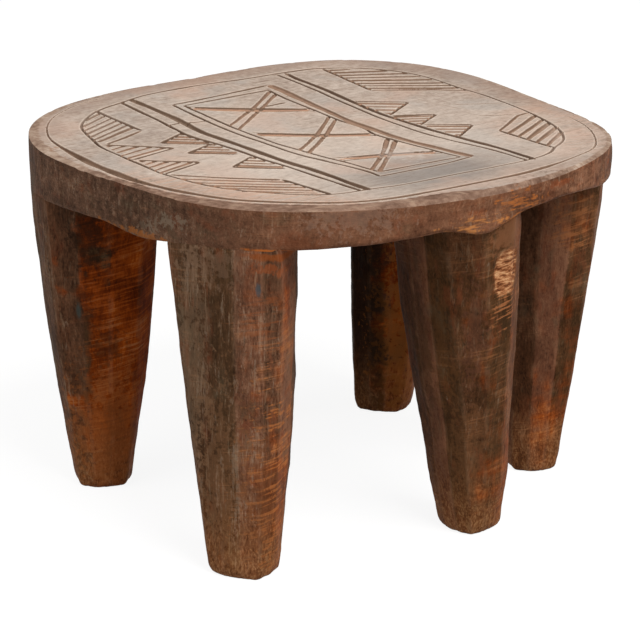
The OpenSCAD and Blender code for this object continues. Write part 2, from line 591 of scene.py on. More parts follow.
@dataclass(frozen=True)
class IncisedLine:
    """One cut along a path on the sitting face.

    The layer keeps cuts that cross each other apart, so that each keeps its own walls.
    """

    path: tuple[Point, ...]
    blade: Blade
    layer: int
    curved: bool = False
    closed: bool = False
    swell: float = 1.0
    widths: tuple[float, ...] = (1.0,)

    def stations(self, spacing: float = 1.5) -> tuple[np.ndarray, np.ndarray, np.ndarray]:
        """Walk along the cut.

        Args:
            spacing: Distance between stations.

        Returns:
            The stations, and the half width and depth of the cut at each.
        """
        corners = np.array(self.path, float)
        if self.curved:
            corners = self.smoothed(corners)
        widths = np.interp(np.linspace(0, 1, len(corners)),
                           np.linspace(0, 1, len(self.widths)), self.widths)
        if self.closed:
            corners = np.vstack((corners, corners[:1]))
            widths = np.append(widths, widths[:1])
        steps = np.linalg.norm(np.diff(corners, axis=0), axis=1)
        run = np.concatenate(([0.0], np.cumsum(steps)))
        count = max(4, int(run[-1] / spacing))
        along = np.linspace(0, run[-1], count)
        walk = np.stack([np.interp(along, run, corners[:, i]) for i in (0, 1)], -1)
        here = np.concatenate((walk, np.zeros((count, 1))), 1)
        cut = self.blade.value
        ends = np.minimum(along, run[-1] - along)
        fade = np.ones(count) if self.closed else eased(ends, -0.15 * cut.run_out, cut.run_out)
        seed = self.layer * 1.7 + len(self.path)
        jitter = HAND.wander[0] * roughen(here, HAND.wander[1], seed)[:, None]
        if self.closed:
            jitter *= HAND.ring_wander
        way, left = ways(walk)
        walk = walk + jitter * left
        hand = 1 + HAND.width[0] * roughen(here, HAND.width[1], seed + 4)
        turn = np.arctan2(way[:, 1], way[:, 0]) - math.radians(HAND.widest_way)
        half = (0.5 * cut.width * self.swell * hand * (0.25 + 0.75 * fade)
                * (0.76 + 0.5 * np.cos(turn) ** 2))
        share = np.interp(along, run, widths)
        half *= share
        deep = cut.depth * (1 + HAND.depth[0] * roughen(here, HAND.depth[1], seed + 9)) * fade
        deep *= np.sqrt(np.minimum(share, 1))
        return walk, half, deep

    def smoothed(self, corners: np.ndarray) -> np.ndarray:
        """Run a smooth curve through corners.

        Args:
            corners: The corners of the path.

        Returns:
            Points of the curve, CURVE_STEPS to each side of the path.
        """
        ring = self.closed
        before = np.roll(corners, 1, 0) if ring else np.vstack((corners[:1], corners[:-1]))
        after = np.roll(corners, -1, 0) if ring else np.vstack((corners[1:], corners[-1:]))
        beyond = np.roll(corners, -2, 0) if ring else np.vstack((after[1:], after[-1:]))
        share = np.linspace(0, 1, CURVE_STEPS, endpoint=False)[:, None]
        pieces = []
        for i in range(len(corners) if ring else len(corners) - 1):
            a, b, c, d = before[i], corners[i], after[i], beyond[i]
            pieces.append(0.5 * (2 * b + (c - a) * share + (2 * a - 5 * b + 4 * c - d) * share**2
                                 + (3 * b - a - 3 * c + d) * share**3))
        if not ring:
            pieces.append(corners[-1:])
        return np.vstack(pieces)


def cut_along(paths: tuple, blade: Blade, layer: int, **settings: object) -> list[IncisedLine]:
    """Return a curved cut along each path, with shared settings."""
    return [IncisedLine(path, blade, layer, curved=True, **settings) for path in paths]


@dataclass(frozen=True)
class Carving:
    """The incised pattern: ring, rim groove, bands, panel with crosses, teeth and fields."""

    def frame_lines(self) -> list[IncisedLine]:
        """Cut the ring, the rim groove and the two double bands.

        Returns:
            The cuts.
        """
        ring = ((-168, -7), (-167, -52), (-160, -81), (-149, -111), (-125, -138), (-91, -149),
                (-67, -154), (-18, -154), (13, -154), (60, -144), (102, -120), (123, -97),
                (130, -67), (134, -48), (137, 0), (139, 50), (134, 79), (123, 96), (107, 119),
                (74, 140), (30, 154), (-21, 161), (-53, 161), (-103, 158), (-137, 137),
                (-158, 104), (-163, 74), (-164, 34))
        groove = ((50, 170), (84, 159), (116, 140), (143, 114), (157, 78), (164, 47), (166, 21),
                  (165, -8), (163, -41), (159, -75), (148, -103), (131, -123), (111, -140),
                  (88, -155), (58, -167), (33, -174), (10, -178), (-20, -179.6), (-40, -180.4),
                  (-57, -179.6), (-75, -178), (-95, -176), (-110, -173), (-128, -165),
                  (-148, -150), (-162, -131), (-172, -108), (-178, -80))
        groove_widths = (0.15, 0.15, 0.18, 0.25, 0.45, 0.85, 0.8, 0.75, 0.7, 0.7, 0.7, 0.65, 0.65,
                         0.65, 0.75, 0.8, 0.95, 1.1, 1.2, 1.15, 0.8, 0.42, 0.26, 0.2, 0.18, 0.18,
                         0.18, 0.15)
        upper = ((-162, 70), (-143, 69), (-110, 70), (-68, 67), (-37, 64), (-6, 64), (25, 64),
                 (55, 66), (95, 67), (124, 64), (141, 62))
        upper_fine = ((-162, 62), (-111, 63), (-58, 59), (-6, 55), (25, 54), (55, 56), (95, 60),
                      (141, 56))
        lower = ((-164, -72), (-124, -70), (-94, -71), (-64, -73), (-13, -71), (38, -70),
                 (68, -69), (99, -71), (131, -74))
        lower_fine = ((-161, -82), (-114, -83), (-84, -85), (-64, -86), (-34, -82), (-14, -80),
                      (17, -79), (48, -77), (89, -78), (128, -79))
        return (cut_along((ring,), Blade.RING, 0, closed=True)
                + cut_along((groove,), Blade.RIM, 0, widths=groove_widths)
                + cut_along((upper,), Blade.BOLD, 1, swell=0.85)
                + cut_along((upper_fine,), Blade.FINE, 1)
                + cut_along((lower,), Blade.BOLD, 1, swell=1.1)
                + cut_along((lower_fine,), Blade.FINE, 1, swell=1.1))

    def panel_lines(self) -> list[IncisedLine]:
        """Cut the double lines round the panel and its three crosses.

        Returns:
            The cuts.
        """
        outer = (
            ((-142, 39), (-122, 40), (-90, 38), (-59, 35), (-28, 32), (-7, 32), (33, 31), (74, 35),
             (104, 37)),
            ((104, 37), (107, 10), (107, -10), (105, -46)),
            ((105, -45), (85, -43), (49, -48), (19, -52), (-12, -53), (-53, -55), (-103, -54),
             (-136, -52)),
            ((-136, -52), (-138, -6), (-141, 39)),
        )
        inner = (
            ((-132, 32), (-111, 30), (-70, 29), (-38, 27), (-8, 28), (13, 24), (43, 26),
             (100, 30)),
            ((100, 30), (98, 11), (97, -9), (95, -38)),
            ((95, -38), (65, -39), (39, -42), (9, -45), (-12, -47), (-63, -48), (-131, -46)),
            ((-130, -46), (-130, -16), (-130, 32)),
        )
        lines = cut_along(outer[:1], Blade.TRENCH, 1, swell=1.75)
        for path, swell in zip(outer[1:], (1.05, 1.0, 1.1)):
            lines += cut_along((path,), Blade.FINE, 1, swell=swell)
        lines += cut_along(inner, Blade.FINE, 2, swell=0.9)
        falling = (((-127, 31), (-98, -5), (-68, -47)), ((-119, 31), (-91, -4), (-56, -48)),
                   ((-47, 27), (-13, -10), (14, -45)), ((-38, 26), (-6, -8), (24, -45)),
                   ((25, 25), (61, -9), (88, -39)), ((34, 25), (68, -9), (95, -38)))
        rising = (((-73, 28), (-95, -4), (-126, -46)), ((-65, 28), (-87, -7), (-117, -46)),
                  ((7, 24), (-14, -8), (-45, -46)), ((15, 24), (-6, -8), (-35, -46)),
                  ((75, 28), (60, -1), (45, -40)), ((83, 28), (68, -1), (55, -40)))
        lines += cut_along(rising, Blade.FINE, 3, swell=0.72)
        warm = (((-121, -46), (-91, -5), (-69, 28)), ((-40, -46), (-10, -8), (11, 24)),
                ((50, -40), (64, -1), (79, 28)))
        lines += cut_along(warm[:2], Blade.SHALLOW, 5, widths=(1.0, 1.0, 0.7))
        lines += cut_along(warm[2:], Blade.SHALLOW, 5, widths=(0.75, 0.8, 0.6))
        lines += cut_along(falling, Blade.TRENCH, 4)
        lines += [
            IncisedLine(((-97, 24), (-95, -2)), Blade.FINE, 6),
            IncisedLine(((-87, -55), (-91, -71)), Blade.FINE, 6, swell=0.8),
            IncisedLine(((-93, -70), (-93, -85)), Blade.FINE, 6, swell=0.8),
        ]
        return lines

    def tooth(self, near: Point, tip: Point, far: Point, strokes: int) -> list[IncisedLine]:
        """Cut one hatched tooth.

        Args:
            near: Foot of the side that the strokes are parallel to.
            tip: Its tip.
            far: Its other foot.
            strokes: How many strokes hatch it.

        Returns:
            Its two sides and the strokes.
        """
        lines = [IncisedLine((near, tip), Blade.FINE, 3),
                 IncisedLine((tip, far), Blade.FINE, 4)]
        for i in range(1, strokes + 1):
            share = (i - 0.35) / (strokes + 0.3)
            foot, head = (tuple(a + (b - a) * share for a, b in zip(start, far))
                          for start in (near, tip))
            over = tuple(a * 1.08 - b * 0.08 for a, b in zip(foot, head))
            lines.append(IncisedLine((over, head), Blade.TOOTH, 2, swell=1.0 + 0.2 * (i % 2)))
        return lines

    def tooth_lines(self) -> list[IncisedLine]:
        """Cut the rows of hatched teeth along both bands and at the front of the ring.

        Returns:
            The cuts.
        """
        teeth = (
            ((-71, 69), (-46, 101), (-26, 67), 4), ((-24, 67), (-7, 96), (10, 67), 4),
            ((10, 70), (32, 98), (53, 68), 4), ((-36, -85), (-59, -113), (-72, -86), 4),
            ((-4, -85), (-27, -112), (-37, -84), 4), ((47, -81), (21, -107), (7, -81), 4),
            ((-34, -153), (-43, -112), (-77, -149), 5), ((8, -154), (-3, -117), (-32, -150), 5),
        )
        return [line for tooth in teeth for line in self.tooth(*tooth)]

    def field_lines(self) -> list[IncisedLine]:
        """Cut the hatched corner fields and the lone strokes beside them.

        Returns:
            The cuts.
        """
        bases = (((-157, 103), (-132, 102), (-89, 99)), ((125, 95), (92, 98), (58, 101)),
                 ((-152, -110), (-129, -109), (-92, -108)), ((122, -99), (96, -99), (68, -100)))
        edges = (((-89, 99), (-65, 139), (-49, 160)), ((59, 101), (33, 141), (31, 153)),
                 ((-92, -108), (-84, -127), (-77, -147)), ((69, -101), (42, -126), (12, -152)))
        strokes = (
            ((-151, 103), (-144, 122)), ((-144, 103), (-126, 144)), ((-136, 102), (-112, 153)),
            ((-128, 102), (-100, 157)), ((-120, 101), (-88, 159)), ((-112, 100), (-76, 160)),
            ((-104, 100), (-66, 161)), ((-96, 99), (-57, 161)),
            ((69, 101), (41, 151)), ((81, 100), (53, 148)), ((92, 98), (64, 144)),
            ((103, 97), (77, 140)), ((115, 96), (91, 132)),
            ((-144, -110), (-133, -131)), ((-137, -110), (-122, -140)),
            ((-130, -109), (-113, -144)), ((-123, -109), (-105, -147)),
            ((-116, -109), (-98, -148)), ((-109, -109), (-91, -149)),
            ((-102, -109), (-85, -149)),
            ((78, -100), (24, -153)), ((88, -100), (37, -151)), ((97, -100), (49, -148)),
            ((106, -101), (62, -143)), ((114, -103), (76, -138)),
        )
        lone = (((-26, 120), (-6, 150), (0, 157)), ((13, 116), (31, 145)))
        lines = [IncisedLine(path, Blade.FINE, 3, swell=1.15) for path in bases]
        lines += [IncisedLine(path, Blade.STROKE, 2, swell=0.9) for path in edges]
        for i, path in enumerate(strokes):
            x, y = path[0]
            blade = Blade.TOOTH if x > 0 > y else Blade.STROKE
            swell = (0.85, 1.1, 0.95)[i % 3] * (1.4 if min(x, y) > 0 else 1.0)
            lines.append(IncisedLine(path, blade, 2, swell=swell))
        lines += [IncisedLine(path, Blade.LIGHT, 6) for path in lone]
        return lines

    def lines(self) -> list[IncisedLine]:
        """Return every cut of the pattern."""
        return (self.frame_lines() + self.panel_lines() + self.tooth_lines()
                + self.field_lines())


def nodes_rounded(bench: Bench, angle: Value, half_x: Value, half_y: Value,
                  squareness: Value) -> Formula:
    """Find the radius of a rounded rectangle at an angle, as nodes.

    Args:
        bench: Where the nodes go.
        angle: The angle.
        half_x: Half its length.
        half_y: Half its width.
        squareness: How square its corners are, from 2 for round.

    Returns:
        The radius.
    """
    across = bench.power(bench.size(bench.cosine(angle)) / half_x, squareness)
    down = bench.power(bench.size(bench.sine(angle)) / half_y, squareness)
    return bench.power(across + down, bench.sum("DIVIDE", -1.0, squareness))


def make_tool_marks() -> bpy.types.NodeTree:
    """Build the group that gives the relief of overlapping scoops left by an edge tool.

    Returns:
        The group.
    """
    group = ShapeTree("tool_marks", {
        "Place": Socket.VECTOR, "Across": 14.0, "Down": 45.0, "Depth": 0.8, "Seed": 1.0},
        {"Relief": Socket.NUMBER})
    x, y, z = group.separate(group.given("Place"))
    across, down, seed = (group.given(n) for n in ("Across", "Down", "Seed"))
    place = group.combine(x / across + seed * 3.7, y / across + seed * 1.9, z / down + seed * 5.3)
    scoop = group.get("ShaderNodeTexVoronoi", {"Vector": place, "Scale": 1.0, "Randomness": 0.85},
                      "Distance")
    return group.give(relief=(scoop * scoop - 0.28) * group.given("Depth") * 1.6)


class IncisedSeatTree(ShapeTree):
    """Tree that cuts the lines into the sitting face and dresses the other sides."""

    def __init__(self, marks: bpy.types.NodeTree) -> None:
        """Build the tree.

        Args:
            marks: The group of tool marks.
        """
        guides = {f"Cuts {i + 1}": Socket.PIECE for i in range(CUT_LAYERS)}
        super().__init__("incised_seat", {
            "Blank": Socket.SHAPE, **guides, "Lip Height": 0.25, "Mark Width": 9.0,
            "Mark Length": 60.0, "Mark Depth": 0.6, "Seed": 3.0, "Finish": Socket.FINISH},
            {"Seat": Socket.SHAPE})
        here = self.get("GeometryNodeInputPosition")
        x, y, _ = self.separate(here)
        flat = self.combine(x, y, 0.0)
        total: Value = 0.0
        wall: Value = 0.0
        warmth: Value = 0.0
        lip: Value = 0.0
        for title in guides:
            distance, held = self.read_cuts(title, flat)
            half = self.greater(held["half_width"], 0.2)
            inside = 1.0 - self.ease(distance / half, held["floor"], 1.0)
            sunk = held["depth"] * inside
            strong = self.lesser(held["depth"] / 1.4, 1.0)
            narrow = self.ease(inside * (1.0 - self.ease(held["floor"], 0.2, 0.45)), 0.05, 0.6)
            steep = inside * (1.0 - inside) * 4.0
            # wall marks the steep walls of each cut; the finish darkens them with painted shade
            # and dirt.
            wall = self.greater(wall, self.greater(steep, narrow) * strong)
            warmth = self.blend(warmth, held["warmth"], self.sum("GREATER_THAN", sunk, total))
            total = self.greater(total, sunk)
            # lip marks the raised rim just beside each cut, which the finish paints pale as a
            # highlight.
            beyond = distance - half
            rise = self.ease(beyond, -0.2, 0.15) * (1.0 - self.ease(beyond, 0.4, 1.3))
            lip = self.greater(lip, rise * strong)
        on_face = self.stored("face")
        cut = total * on_face
        lip = lip * (1.0 - self.ease(total, 0.05, 0.4)) * on_face
        relief = self.use(marks, place=here, across=self.given("Mark Width"),
                          down=self.given("Mark Length"), depth=self.given("Mark Depth"),
                          seed=self.given("Seed"))["Relief"]
        away = self.get("GeometryNodeInputNormal")
        pushed = self.vector("SCALE", away, relief * self.stored("dressed"))
        lowered = self.combine(0.0, 0.0, lip * self.given("Lip Height") - cut)
        shape = self.keep(self.given("Blank"), cut=cut, wall=wall * on_face, warmth=warmth,
                          lip=lip)
        self.finish(shape, offset=self.vector("ADD", pushed, lowered))

    def read_cuts(self, title: str, place: Formula) -> tuple[Formula, dict[str, Formula]]:
        """Read one layer of cut guides.

        Args:
            title: Input that holds the guides.
            place: Where they are read, at the guides' height.

        Returns:
            Distance to the nearest guide, and the numbers stored on its nearest point.
        """
        cuts = self.get("GeometryNodeObjectInfo", {"Object": self.given(title)}, "Geometry",
                        transform_space="ORIGINAL")
        distance = self.get("GeometryNodeProximity", {0: cuts, "Sample Position": place},
                            "Distance", target_element="EDGES")
        nearest = self.get("GeometryNodeSampleNearest", {"Geometry": cuts,
                                                         "Sample Position": place}, domain="POINT")
        held = {name: self.get("GeometryNodeSampleIndex", {
            "Geometry": cuts, "Value": self.stored(name), "Index": nearest},
            data_type="FLOAT", domain="POINT") for name in GUIDE_VALUES}
        return distance, held


class HewnLegTree(ShapeTree):
    """Tree of a hewn leg: a twelve-sided section swept from the foot to the rim."""

    FACET = math.radians(30.0)
    SIDE_SHARE = 0.985
    HEAD_SHARE = 0.0152
    ROUNDS, RISES, FILLS = 180, 168, 10

    def __init__(self, form: StoolForm, marks: bpy.types.NodeTree) -> None:
        """Build the tree.

        Args:
            form: Form of the seat.
            marks: The group of tool marks.
        """
        super().__init__("hewn_leg", {
            "Foot Bearing": 0.0, "Foot Reach": 150.0, "Foot Width": 44.0, "Foot Depth": 41.0,
            "Head Bearing": 0.0, "Head Reach": 155.0, "Head Width": 84.0, "Head Depth": 86.0,
            "Belly": 3.0, "Fuller": 0.0, "Squareness": 3.2, "Foot Edge": 3.0,
            "Arris Wander": 6.0, "Arris Wear": 0.7, "Waver": 1.0, "Mark Width": 15.0,
            "Mark Length": 48.0, "Mark Depth": 0.9, "Patch Depth": 0.0, "Rust Low": 0.1,
            "Rust High": 0.6, "Rust Turn": 0.0, "Shade High": 0.3, "Shade Turn": 0.0,
            "Dust": 0.3, "Warmth": 0.5, "Seed": 1.0, "Patch Place": (0.0, 0.0, 0.0),
            "Patch Size": (1.0, 1.0, 1.0), "Finish": Socket.FINISH}, {"Leg": Socket.SHAPE})
        self.form = form
        seed = self.given("Seed")
        x, y, z = self.separate(self.get("GeometryNodeInputPosition"))
        self.angle = self.sum("ARCTAN2", y, x)
        rise = (z + 0.5) / self.SIDE_SHARE
        self.up = self.lesser(rise, 1.0)
        embed = self.greater(rise - 1.0, 0.0) / self.HEAD_SHARE
        wander = self.cloud(self.combine(x * 0.9 + seed * 11.0, y * 0.9, z * 2.2 + seed), 1.0, 1.0)
        self.turned = self.angle + (wander - 0.5) * self.given("Arris Wander") * (2.0 * DEGREE)
        half_facet = self.FACET / 2
        self.first = (self.sum("FLOOR", (self.angle - half_facet) / self.FACET) * self.FACET
                      + half_facet)
        self.arris = self.size(self.angle - self.first - half_facet) / half_facet
        foot_x, foot_y, foot_mid_x, foot_mid_y = self.section("Foot")
        head_x, head_y, head_mid_x, head_mid_y = self.section("Head")
        head_x, head_y, even, ceiling = self.trim_head(head_x, head_y)
        tall = self.up * ceiling
        self.rise = tall / even
        wall_x = self.blend(foot_x, head_x, self.rise)
        wall_y = self.blend(foot_y, head_y, self.rise)
        mid_x = self.blend(foot_mid_x, head_mid_x, self.rise)
        mid_y = self.blend(foot_mid_y, head_mid_y, self.rise)
        out_x, out_y = wall_x - mid_x, wall_y - mid_y
        size = self.power(out_x * out_x + out_y * out_y, 0.5)
        self.place = self.combine(wall_x, wall_y, tall)
        self.bare = self.patch()
        push = self.push(marks, tall) - embed * 1.2 - self.bare * self.given("Patch Depth")
        grown = (size + push) / size * self.power(x * x + y * y, 0.5)
        final = self.combine(mid_x + out_x * grown, mid_y + out_y * grown, tall + embed * 4.0)
        blank = self.get("GeometryNodeMeshCylinder", {
            "Vertices": self.ROUNDS, "Side Segments": self.RISES, "Fill Segments": self.FILLS,
            "Radius": 1.0, "Depth": 1.0}, "Mesh", fill_type="TRIANGLE_FAN")
        self.finish(self.keep(blank, **self.looks()), position=final)

    def section(self, end: str) -> tuple[Formula, Formula, Formula, Formula]:
        """Find the point of one end's section, in plan.

        Args:
            end: Foot or Head.

        Returns:
            The point, and the middle of the section.
        """
        bearing, reach, width, depth = (
            self.given(f"{end} {name}") for name in ("Bearing", "Reach", "Width", "Depth"))
        sizes = (depth * 0.5, width * 0.5, self.given("Squareness"))
        second = self.first + self.FACET
        near = nodes_rounded(self, self.first, *sizes)
        far = nodes_rounded(self, second, *sizes)
        chord = near * far * math.sin(self.FACET) / (
            near * self.sine(self.angle - self.first) + far * self.sine(second - self.angle))
        smooth = nodes_rounded(self, self.angle, *sizes)
        radius = nodes_rounded(self, self.turned, *sizes) * chord / smooth
        cos_b, sin_b = self.cosine(bearing), self.sine(bearing)
        out, side = radius * self.cosine(self.turned), radius * self.sine(self.turned)
        mid_x, mid_y = reach * cos_b, reach * sin_b
        return (mid_x + cos_b * out - sin_b * side, mid_y + sin_b * out + cos_b * side,
                mid_x, mid_y)

    def rim_reach(self, angle: Value) -> Formula:
        """Find how far the rim is from the middle of the outline, as nodes.

        Args:
            angle: The bearing.

        Returns:
            The distance.
        """
        form = self.form
        lobed = sum((self.cosine(angle * bulges + math.radians(turn)) * share
                     for bulges, share, turn in form.lobes), 0.0) + 1.0
        return nodes_rounded(self, angle, *form.half, form.squareness) * lobed

    def trim_head(self, head_x: Formula, head_y: Formula) -> tuple[Formula, ...]:
        """Trim the head of the leg to the rim and the underside of the seat.

        Args:
            head_x: Point of the head's section in plan, along the stool.
            head_y: The same point, across the stool.

        Returns:
            The trimmed point, and the height of the underside over it without and with swells.
        """
        form = self.form
        centre_x, centre_y = (float(part) for part in form.centre)
        from_x, from_y = head_x - centre_x, head_y - centre_y
        around = self.sum("ARCTAN2", from_y, from_x)
        long = self.power(from_x * from_x + from_y * from_y, 0.5)
        rim = self.rim_reach(around)
        self.flush = self.ease(long - rim, -1.0, 2.0)
        share = self.lesser(rim / long, 1.0)
        head_x, head_y = from_x * share + centre_x, from_y * share + centre_y
        thin = math.radians(form.thin_side)
        even = (head_x * math.cos(thin) + head_y * math.sin(thin)) * (
            form.thickness_change / form.width) + (form.height - form.thickness)
        out = self.greater(self.lesser(long / rim, 1.0) - form.swell_start, 0.0) / (
            1 - form.swell_start)
        ceiling = even
        for at, half, depth in form.swells:
            aside = self.size(self.sum("WRAP", around - math.radians(at), math.pi, -math.pi))
            hang = self.cosine(self.lesser(aside / math.radians(half), 1.0) * (math.pi / 2))
            ceiling = ceiling - out * out * hang * hang * depth
        return head_x, head_y, even, ceiling

    def push(self, marks: bpy.types.NodeTree, tall: Formula) -> Formula:
        """Find how far the wall is pushed out by the tool, the belly and the worn foot.

        Args:
            marks: The group of tool marks.
            tall: Height over the floor.

        Returns:
            The push in millimetres.
        """
        get = self.given
        scoops = self.use(marks, place=self.place, across=get("Mark Width"),
                          down=get("Mark Length"), depth=get("Mark Depth"),
                          seed=get("Seed"))["Relief"]
        waver = (self.cloud(self.place, 1.0 / 62.0, 1.0) - 0.5) * get("Waver") * 4.0
        ripple = (self.streak(self.place, (0.11, 0.02, 0.11), 2.0) - 0.5) * 0.9
        worn = self.power(self.arris, 12.0) * get("Arris Wear")
        settled = 1.0 - self.flush * self.ease(self.up, 0.86, 1.0)
        relief = (scoops + waver + ripple - worn) * settled
        swell = get("Belly") * self.sine(self.up * math.pi)
        swell = swell + get("Fuller") * self.rise * self.ease(self.cosine(self.angle), 0.2, 0.9)
        foot = self.greater(1.0 - tall / 9.0, 0.0)
        edge = get("Foot Edge") * (1.0 - self.power(self.greater(1.0 - foot * foot, 0.0), 0.5))
        ragged = (self.cloud(self.place, 0.12, 2.0) - 0.5) * foot * 3.0
        return relief + swell - edge + ragged

    def patch(self) -> Formula:
        """Find the bare patch.

        Returns:
            One on the patch and nought beside it.
        """
        offset = self.vector("DIVIDE", self.vector(
            "SUBTRACT", self.place, self.given("Patch Place")), self.given("Patch Size"))
        near = self.power(sum((self.power(self.size(part), 4.0)
                               for part in self.separate(offset)), 0.0), 0.25)
        ragged = (self.cloud(self.place, 0.16, 2.0) - 0.5) * 0.5
        return 1.0 - self.ease(near + ragged, 0.75, 1.0)

    def looks(self) -> dict[str, Formula]:
        """Find the numbers that the leg's finish reads.

        Returns:
            The numbers by name.
        """
        get = self.given
        middle = self.first + self.FACET / 2
        wander = (self.cloud(self.place, 0.03, 3.0) - 0.5) * 2.4
        where = self.blend(middle, self.angle, 0.55) + wander
        rusty = self.ease(self.cosine(where - get("Rust Turn")), 0.35, 0.9)
        # shady marks the side that gets painted shade.
        shady = self.ease(self.cosine(where - get("Shade Turn")), 0.4, 0.9)
        hashed = self.sine(middle * 12.9898 + get("Seed") * 78.233) * 43758.5
        return {"rust": self.blend(get("Rust Low"), get("Rust High"), rusty),
                "shade": shady * get("Shade High"), "stain": self.sum("FRACT", hashed),
                "warmth": get("Warmth"),
                "dust": self.ease(self.cosine(middle), 0.0, 0.9) * get("Dust"),
                "patch": self.bare * self.ease(get("Patch Depth"), 0.0, 0.2),
                "arris": self.power(self.arris, 9.0)}


class ShapeTrees:
    """Geometry trees of the stool: the incised seat and the hewn leg."""

    def __init__(self, form: StoolForm) -> None:
        """Build the trees once.

        Args:
            form: Form of the seat.
        """
        marks = make_tool_marks()
        self.incise = IncisedSeatTree(marks).tree
        self.leg = HewnLegTree(form, marks).tree


def add_object(name: str, data: bpy.types.ID) -> bpy.types.Object:
    """Put an object in the scene.

    Args:
        name: Its name.
        data: Its mesh, lamp or camera.

    Returns:
        The object.
    """
    thing = bpy.data.objects.new(name, data)
    bpy.context.scene.collection.objects.link(thing)
    return thing


def settle(name: str, blank: bpy.types.Object, tree: bpy.types.NodeTree,
           values: dict[str, object], sharp: float = 38.0) -> bpy.types.Object:
    """Run a geometry tree on a blank and keep the result as a plain mesh.

    Args:
        name: Name of the finished piece.
        blank: Object that the tree starts from. It is removed.
        tree: The geometry tree.
        values: Value of each named input.
        sharp: Angle in degrees past which an edge is shaded sharp.

    Returns:
        The finished piece, at the origin, unturned and unscaled.
    """
    modifier = blank.modifiers.new("shape", "NODES")
    modifier.node_group = tree
    for item in tree.interface.items_tree:
        if item.item_type == "SOCKET" and item.in_out == "INPUT" and item.name in values:
            modifier[item.identifier] = values[item.name]
    bpy.context.view_layer.update()
    graph = bpy.context.evaluated_depsgraph_get()
    mesh = bpy.data.meshes.new_from_object(blank.evaluated_get(graph))
    blank.modifiers.remove(modifier)
    bpy.data.objects.remove(blank)
    mesh.name = name
    mesh.shade_smooth()
    mesh.set_sharp_from_angle(angle=math.radians(sharp))
    return add_object(name, mesh)


def new_piece(name: str, points: np.ndarray, faces: list, edges: list | None = None,
              **values: np.ndarray) -> bpy.types.Object:
    """Make an object from points and faces.

    Args:
        name: Name of the object.
        points: Its points.
        faces: Numbers of the points round each face.
        edges: Numbers of the points of each loose edge.
        values: Numbers to store on the points, by name.

    Returns:
        The object, which is in the scene.
    """
    mesh = bpy.data.meshes.new(name)
    mesh.from_pydata(points.tolist(), edges or [], faces)
    mesh.update()
    for title, numbers in values.items():
        attribute = mesh.attributes.new(title, "FLOAT", "POINT")
        attribute.data.foreach_set("value", np.ascontiguousarray(numbers, np.float32))
    return add_object(name, mesh)


def empty_material(name: str) -> tuple[bpy.types.Material, Bench]:
    """Make a material without nodes.

    Args:
        name: Its name.

    Returns:
        The material, and the bench for its nodes.
    """
    material = bpy.data.materials.new(name)
    material.use_nodes = True
    material.node_tree.nodes.clear()
    return material, Bench(material.node_tree)


